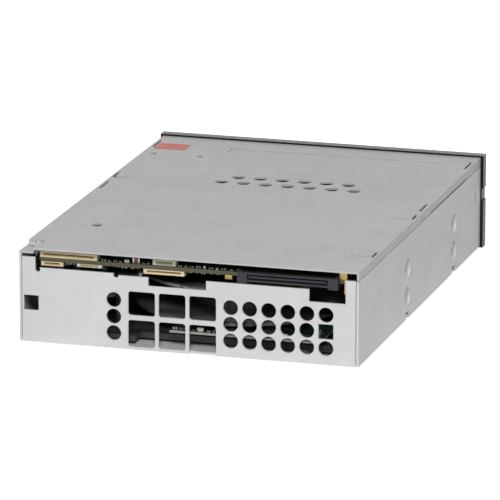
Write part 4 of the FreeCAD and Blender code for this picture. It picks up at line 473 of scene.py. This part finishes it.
def add_edge_parts():
    """Small soldered parts above and below the main board's rear edge."""
    rows_and_levels = (("board_parts_top", TOP_EDGE_PARTS, board_high.z, 1),
                       ("board_parts_low", LOW_EDGE_PARTS, board_low.z, -1))
    for name, rows, level, way in rows_and_levels:
        parts = Parts(TIN, CHIP, CERAMIC, CHALK, RUST)
        for x, inset, size, material in rows:
            middle = board_high.y - (inset + size[1] / 2) * MM
            parts.capped(x, middle, level, size, material, way)
        parts.build(name, PART_EDGE)


# Plated contacts at the main board's rear edge, as boxes from corner to corner in mm: across, behind
# the board's rear edge, above its underside
board_thick = (board_high.z - board_low.z) / MM
UNDER_CONTACT = ((-18.0, -2.8, -2.0), (-14.9, -0.2, 0.0))
CLIP_TAIL = ((-67.2, -0.2, -2.4), (-66.0, 0.3, board_thick + 0.4))
CLIP_FOOT = ((-67.6, -1.6, -4.4), (-66.0, 0.4, -2.3))


def add_edge_contacts():
    """Plated contact under the board, and the ground clip's tail folded down past its edge."""
    parts = Parts(BRASS)
    origin = Vector((0, board_high.y, board_low.z))
    for corner, opposite in (UNDER_CONTACT, CLIP_TAIL, CLIP_FOOT):
        parts.box(origin + Vector(corner) * MM, origin + Vector(opposite) * MM, BRASS)
    parts.build("edge_contact", 0.1)


# Cable sockets: left end, right end, lowest, highest, inset of the face, what shows in the mouth
SOCKETS = (
    (65.1, 40.2, board_high.z, board_high.z + 2.5 * MM, 0.3, "contacts"),
    (16.4, 6.4, board_high.z, board_high.z + 2.4 * MM, 1.0, "latch"),
    (64.6, 55.0, board_low.z - 2.0 * MM, board_low.z, 0.3, "contacts"),
    (49.0, 38.2, board_low.z - 1.4 * MM, board_low.z, 0.3, "latch"),
    (20.2, 2.6, board_low.z - 2.2 * MM, board_low.z, 0.3, "contacts"),
)
# From a socket's end to its mouth, in mm, and the mouth's height as a share of the socket's
MOUTH_MARGIN = 1.55
MOUTH_SHARE = 0.4
LATCH_REACH = 0.12 * MM
LATCH_DEPTH = 1.2 * MM
EAR_WIDTH = 1.2 * MM
EAR_REACH = 0.3 * MM
EAR_DEPTH = 1.0 * MM
EAR_MARGIN = 0.1 * MM
LINER_DEPTH, LINER_FACE = 1.3 * MM, 1.0 * MM
CONTACT_DEPTH, CONTACT_FACE = 1.1 * MM, 0.25 * MM
CONTACT_PITCH = 0.5 * MM
CONTACT_SHARE = 0.22
# Reach from the mouth's middle, as shares of its height; the contacts end below it
LATCH_HALF = 0.45
LINER_HALF = 0.48
CONTACT_LOW, CONTACT_HIGH = 0.42, 0.05


def add_latch(parts, x0, x1, low, high, face):
    """Pale bar across a socket's mouth, held by an ear at each end of the socket."""
    middle, mouth = (low + high) / 2, (high - low) * MOUTH_SHARE
    parts.box((x0, face - LATCH_DEPTH, middle - mouth * LATCH_HALF),
              (x1, face + LATCH_REACH, middle + mouth * LATCH_HALF), GREYGREEN)
    ear = MOUTH_MARGIN * MM - EAR_MARGIN
    for end, way in ((x0 - ear, 1), (x1 + ear, -1)):
        parts.box((end, face - EAR_DEPTH, low + EAR_MARGIN),
                  (end + way * EAR_WIDTH, face + EAR_REACH, high - EAR_MARGIN), CHALK)


def add_contacts(parts, x0, x1, low, high, face):
    """Row of gold contacts over an amber liner at the back of a socket's mouth."""
    middle, mouth = (low + high) / 2, (high - low) * MOUTH_SHARE
    parts.box((x0, face - LINER_DEPTH, middle - mouth * LINER_HALF),
              (x1, face - LINER_FACE, middle + mouth * LINER_HALF), AMBER)
    count = int((x1 - x0) / CONTACT_PITCH)
    pitch = (x1 - x0) / count
    for index in range(count):
        x = x0 + (index + 0.5) * pitch
        half = pitch * CONTACT_SHARE
        parts.box((x - half, face - CONTACT_DEPTH, middle - mouth * CONTACT_LOW),
                  (x + half, face - CONTACT_FACE, middle - mouth * CONTACT_HIGH), GOLD)


def add_socket_fittings():
    """Contact combs, amber liners and pale latches in the mouths of the cable sockets."""
    parts = Parts(GOLD, AMBER, GREYGREEN, CHALK)
    for left, right, low, high, inset, style in SOCKETS:
        x0, x1 = (right + MOUTH_MARGIN) * MM, (left - MOUTH_MARGIN) * MM
        fitting = add_latch if style == "latch" else add_contacts
        fitting(parts, x0, x1, low, high, board_high.y - inset * MM)
    parts.build("socket_fittings", 0.03)


# Ridges of the host plug, in mm: underside below the plug's top, rear edge ahead of its rear face
HOST_RIDGES = ((0.75, 0.5), (0.25, 1.1))
HOST_END_BLOCK = 4.2 * MM
RIDGE_DEPTH = 1.0 * MM
RIDGE_HEIGHT = 0.22 * MM


def add_host_ridges():
    """Two ridges along the top of the host plug, between its end blocks."""
    low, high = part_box("host_connector")
    parts = Parts(HOST)
    for down, ahead in HOST_RIDGES:
        level, back = high.z - down * MM, high.y - ahead * MM
        parts.box((low.x + HOST_END_BLOCK, back - RIDGE_DEPTH, level),
                  (high.x - HOST_END_BLOCK, back, level + RIDGE_HEIGHT), HOST)
    parts.build("host_ridges", 0.05)


# Packages on the motor board: place across, distance ahead of its rear edge, size, leads a side
LOW_PACKAGES = (
    (-14.0, 6.2, (9.0, 4.0, 1.5), 8), (2.6, 5.4, (5.0, 3.6, 1.4), 4),
    (-34.0, 7.0, (12.0, 6.0, 1.8), 12), (-48.0, 5.6, (6.4, 4.0, 1.4), 6),
)
# Small parts on the motor board: place across, distance ahead of its rear edge, size, material
LOW_PARTS = (
    (6.6, 2.0, (2.0, 1.2, 1.0), CERAMIC), (4.0, 1.6, (1.2, 0.8, 0.7), CHIP),
    (1.4, 1.8, (1.6, 0.9, 0.8), CERAMIC), (-1.6, 1.5, (1.2, 0.7, 0.6), CHIP),
    (-4.4, 2.2, (2.6, 1.6, 1.5), CHALK), (-8.0, 1.6, (1.2, 0.8, 0.7), CERAMIC),
    (-10.6, 1.8, (1.6, 0.9, 0.7), CHIP), (-14.2, 1.6, (2.4, 1.4, 1.3), CERAMIC),
    (-17.6, 1.8, (1.2, 0.8, 0.7), CHIP), (-20.2, 1.6, (1.6, 0.9, 0.8), CHALK),
    (-23.6, 1.8, (1.2, 0.8, 0.7), CHIP), (-27.0, 1.6, (2.0, 1.2, 1.1), CERAMIC),
    (-31.0, 2.0, (1.2, 0.8, 0.7), CHIP), (-36.0, 1.8, (1.6, 0.9, 0.8), CERAMIC),
    (-41.0, 1.6, (2.6, 1.6, 1.5), CHALK), (-46.0, 1.8, (1.2, 0.8, 0.7), CHIP),
    (-51.0, 1.8, (1.6, 0.9, 0.8), CERAMIC),
)


def add_low_board_parts():
    """Motor drivers and their passives along the rear of the motor board."""
    parts = Parts(TIN, CHIP, CERAMIC, CHALK)
    level = low_board_high.z
    for x, inset, size, leads in LOW_PACKAGES:
        parts.package(x, low_board_high.y - inset * MM, level, size, leads)
    for x, inset, size, material in LOW_PARTS:
        parts.capped(x, low_board_high.y - inset * MM, level, size, material)
    parts.build("motor_board_parts", PART_EDGE)


add_edge_parts()
add_edge_contacts()
add_socket_fittings()
add_host_ridges()
add_low_board_parts()

# ---------------------------------------------------------------- stage and light

FLOOR_REACH = 12.0
FLOOR_DROP = 0.2 * MM
FLOOR_ALBEDO = 0.9
FLOOR_ROUGHNESS = 0.9
# Glow of the floor as the camera sees it, and the share of it that gloss mirrors
FLOOR_GLOW = 0.86
FLOOR_IN_GLOSS = 0.8
WORLD_LIGHT = 0.2
LAMPS = (
    # name, place, aim, size, watts
    ("key", (-0.42, 1.72, 1.35), (0, 0.1, 0.02), 0.6, 32.0),
    ("front", (0.6, -2.2, 0.6), (0, -0.1, 0.02), 1.0, 1.5),
    ("left", (2.2, -0.2, 0.4), (0.07, 0, 0.02), 1.0, 5.0),
)


def floor_material():
    """Pale floor that the camera sees as near white, with the drive's soft shadow kept."""
    material = bpy.data.materials.new("floor_pale")
    material.use_nodes = True
    tree = material.node_tree
    shader = tree.nodes["Principled BSDF"]
    shader.inputs["Base Color"].default_value = (FLOOR_ALBEDO, FLOOR_ALBEDO, FLOOR_ALBEDO, 1)
    shader.inputs["Roughness"].default_value = FLOOR_ROUGHNESS
    shader.inputs["Specular IOR Level"].default_value = 0.0
    path = tree.nodes.new("ShaderNodeLightPath")
    in_gloss = calculate(tree, "MULTIPLY", path.outputs["Is Glossy Ray"], FLOOR_IN_GLOSS)
    seen = calculate(tree, "MAXIMUM", path.outputs["Is Camera Ray"], in_gloss)
    glow = tree.nodes.new("ShaderNodeEmission")
    tree.links.new(calculate(tree, "MULTIPLY", seen, FLOOR_GLOW), glow.inputs["Strength"])
    both = tree.nodes.new("ShaderNodeAddShader")
    tree.links.new(shader.outputs["BSDF"], both.inputs[0])
    tree.links.new(glow.outputs["Emission"], both.inputs[1])
    output = tree.nodes["Material Output"]
    tree.links.new(both.outputs["Shader"], output.inputs["Surface"])
    return material


def make_floor():
    mesh = bpy.data.meshes.new("floor")
    reach = FLOOR_REACH
    mesh.from_pydata([(-reach, -reach, 0), (reach, -reach, 0), (reach, reach, 0), (-reach, reach, 0)],
                     [], [(0, 1, 2, 3)])
    mesh.materials.append(floor_material())
    floor = bpy.data.objects.new("floor", mesh)
    bpy.context.scene.collection.objects.link(floor)
    floor.location.z = -FLOOR_DROP


def make_world():
    """White where it is seen, mirrored or seen through; a dimmer surround as a light."""
    world = bpy.data.worlds.new("studio")
    bpy.context.scene.world = world
    world.use_nodes = True
    tree = world.node_tree
    background = tree.nodes["Background"]
    background.inputs["Color"].default_value = (1, 1, 1, 1)
    path = tree.nodes.new("ShaderNodeLightPath")
    seen = calculate(tree, "MAXIMUM", path.outputs["Is Camera Ray"], path.outputs["Is Glossy Ray"])
    seen = calculate(tree, "MAXIMUM", seen, path.outputs["Is Transmission Ray"])
    strength = tree.nodes.new("ShaderNodeMapRange")
    strength.inputs["To Min"].default_value = WORLD_LIGHT
    strength.inputs["To Max"].default_value = 1.0
    tree.links.new(seen, strength.inputs["Value"])
    tree.links.new(strength.outputs["Result"], background.inputs["Strength"])


def make_lamps():
    """Large soft lamps: one high behind, two weaker ones in front and on the left."""
    for name, place, aim, size, power in LAMPS:
        data = bpy.data.lights.new(name, "AREA")
        data.shape, data.size, data.energy = "DISK", size, power
        lamp = bpy.data.objects.new(name, data)
        bpy.context.scene.collection.objects.link(lamp)
        lamp.location = place
        direction = Vector(aim) - Vector(place)
        lamp.rotation_euler = direction.to_track_quat("-Z", "Y").to_euler()


make_floor()
make_world()
make_lamps()
bpy.context.scene.view_settings.view_transform = "Standard"
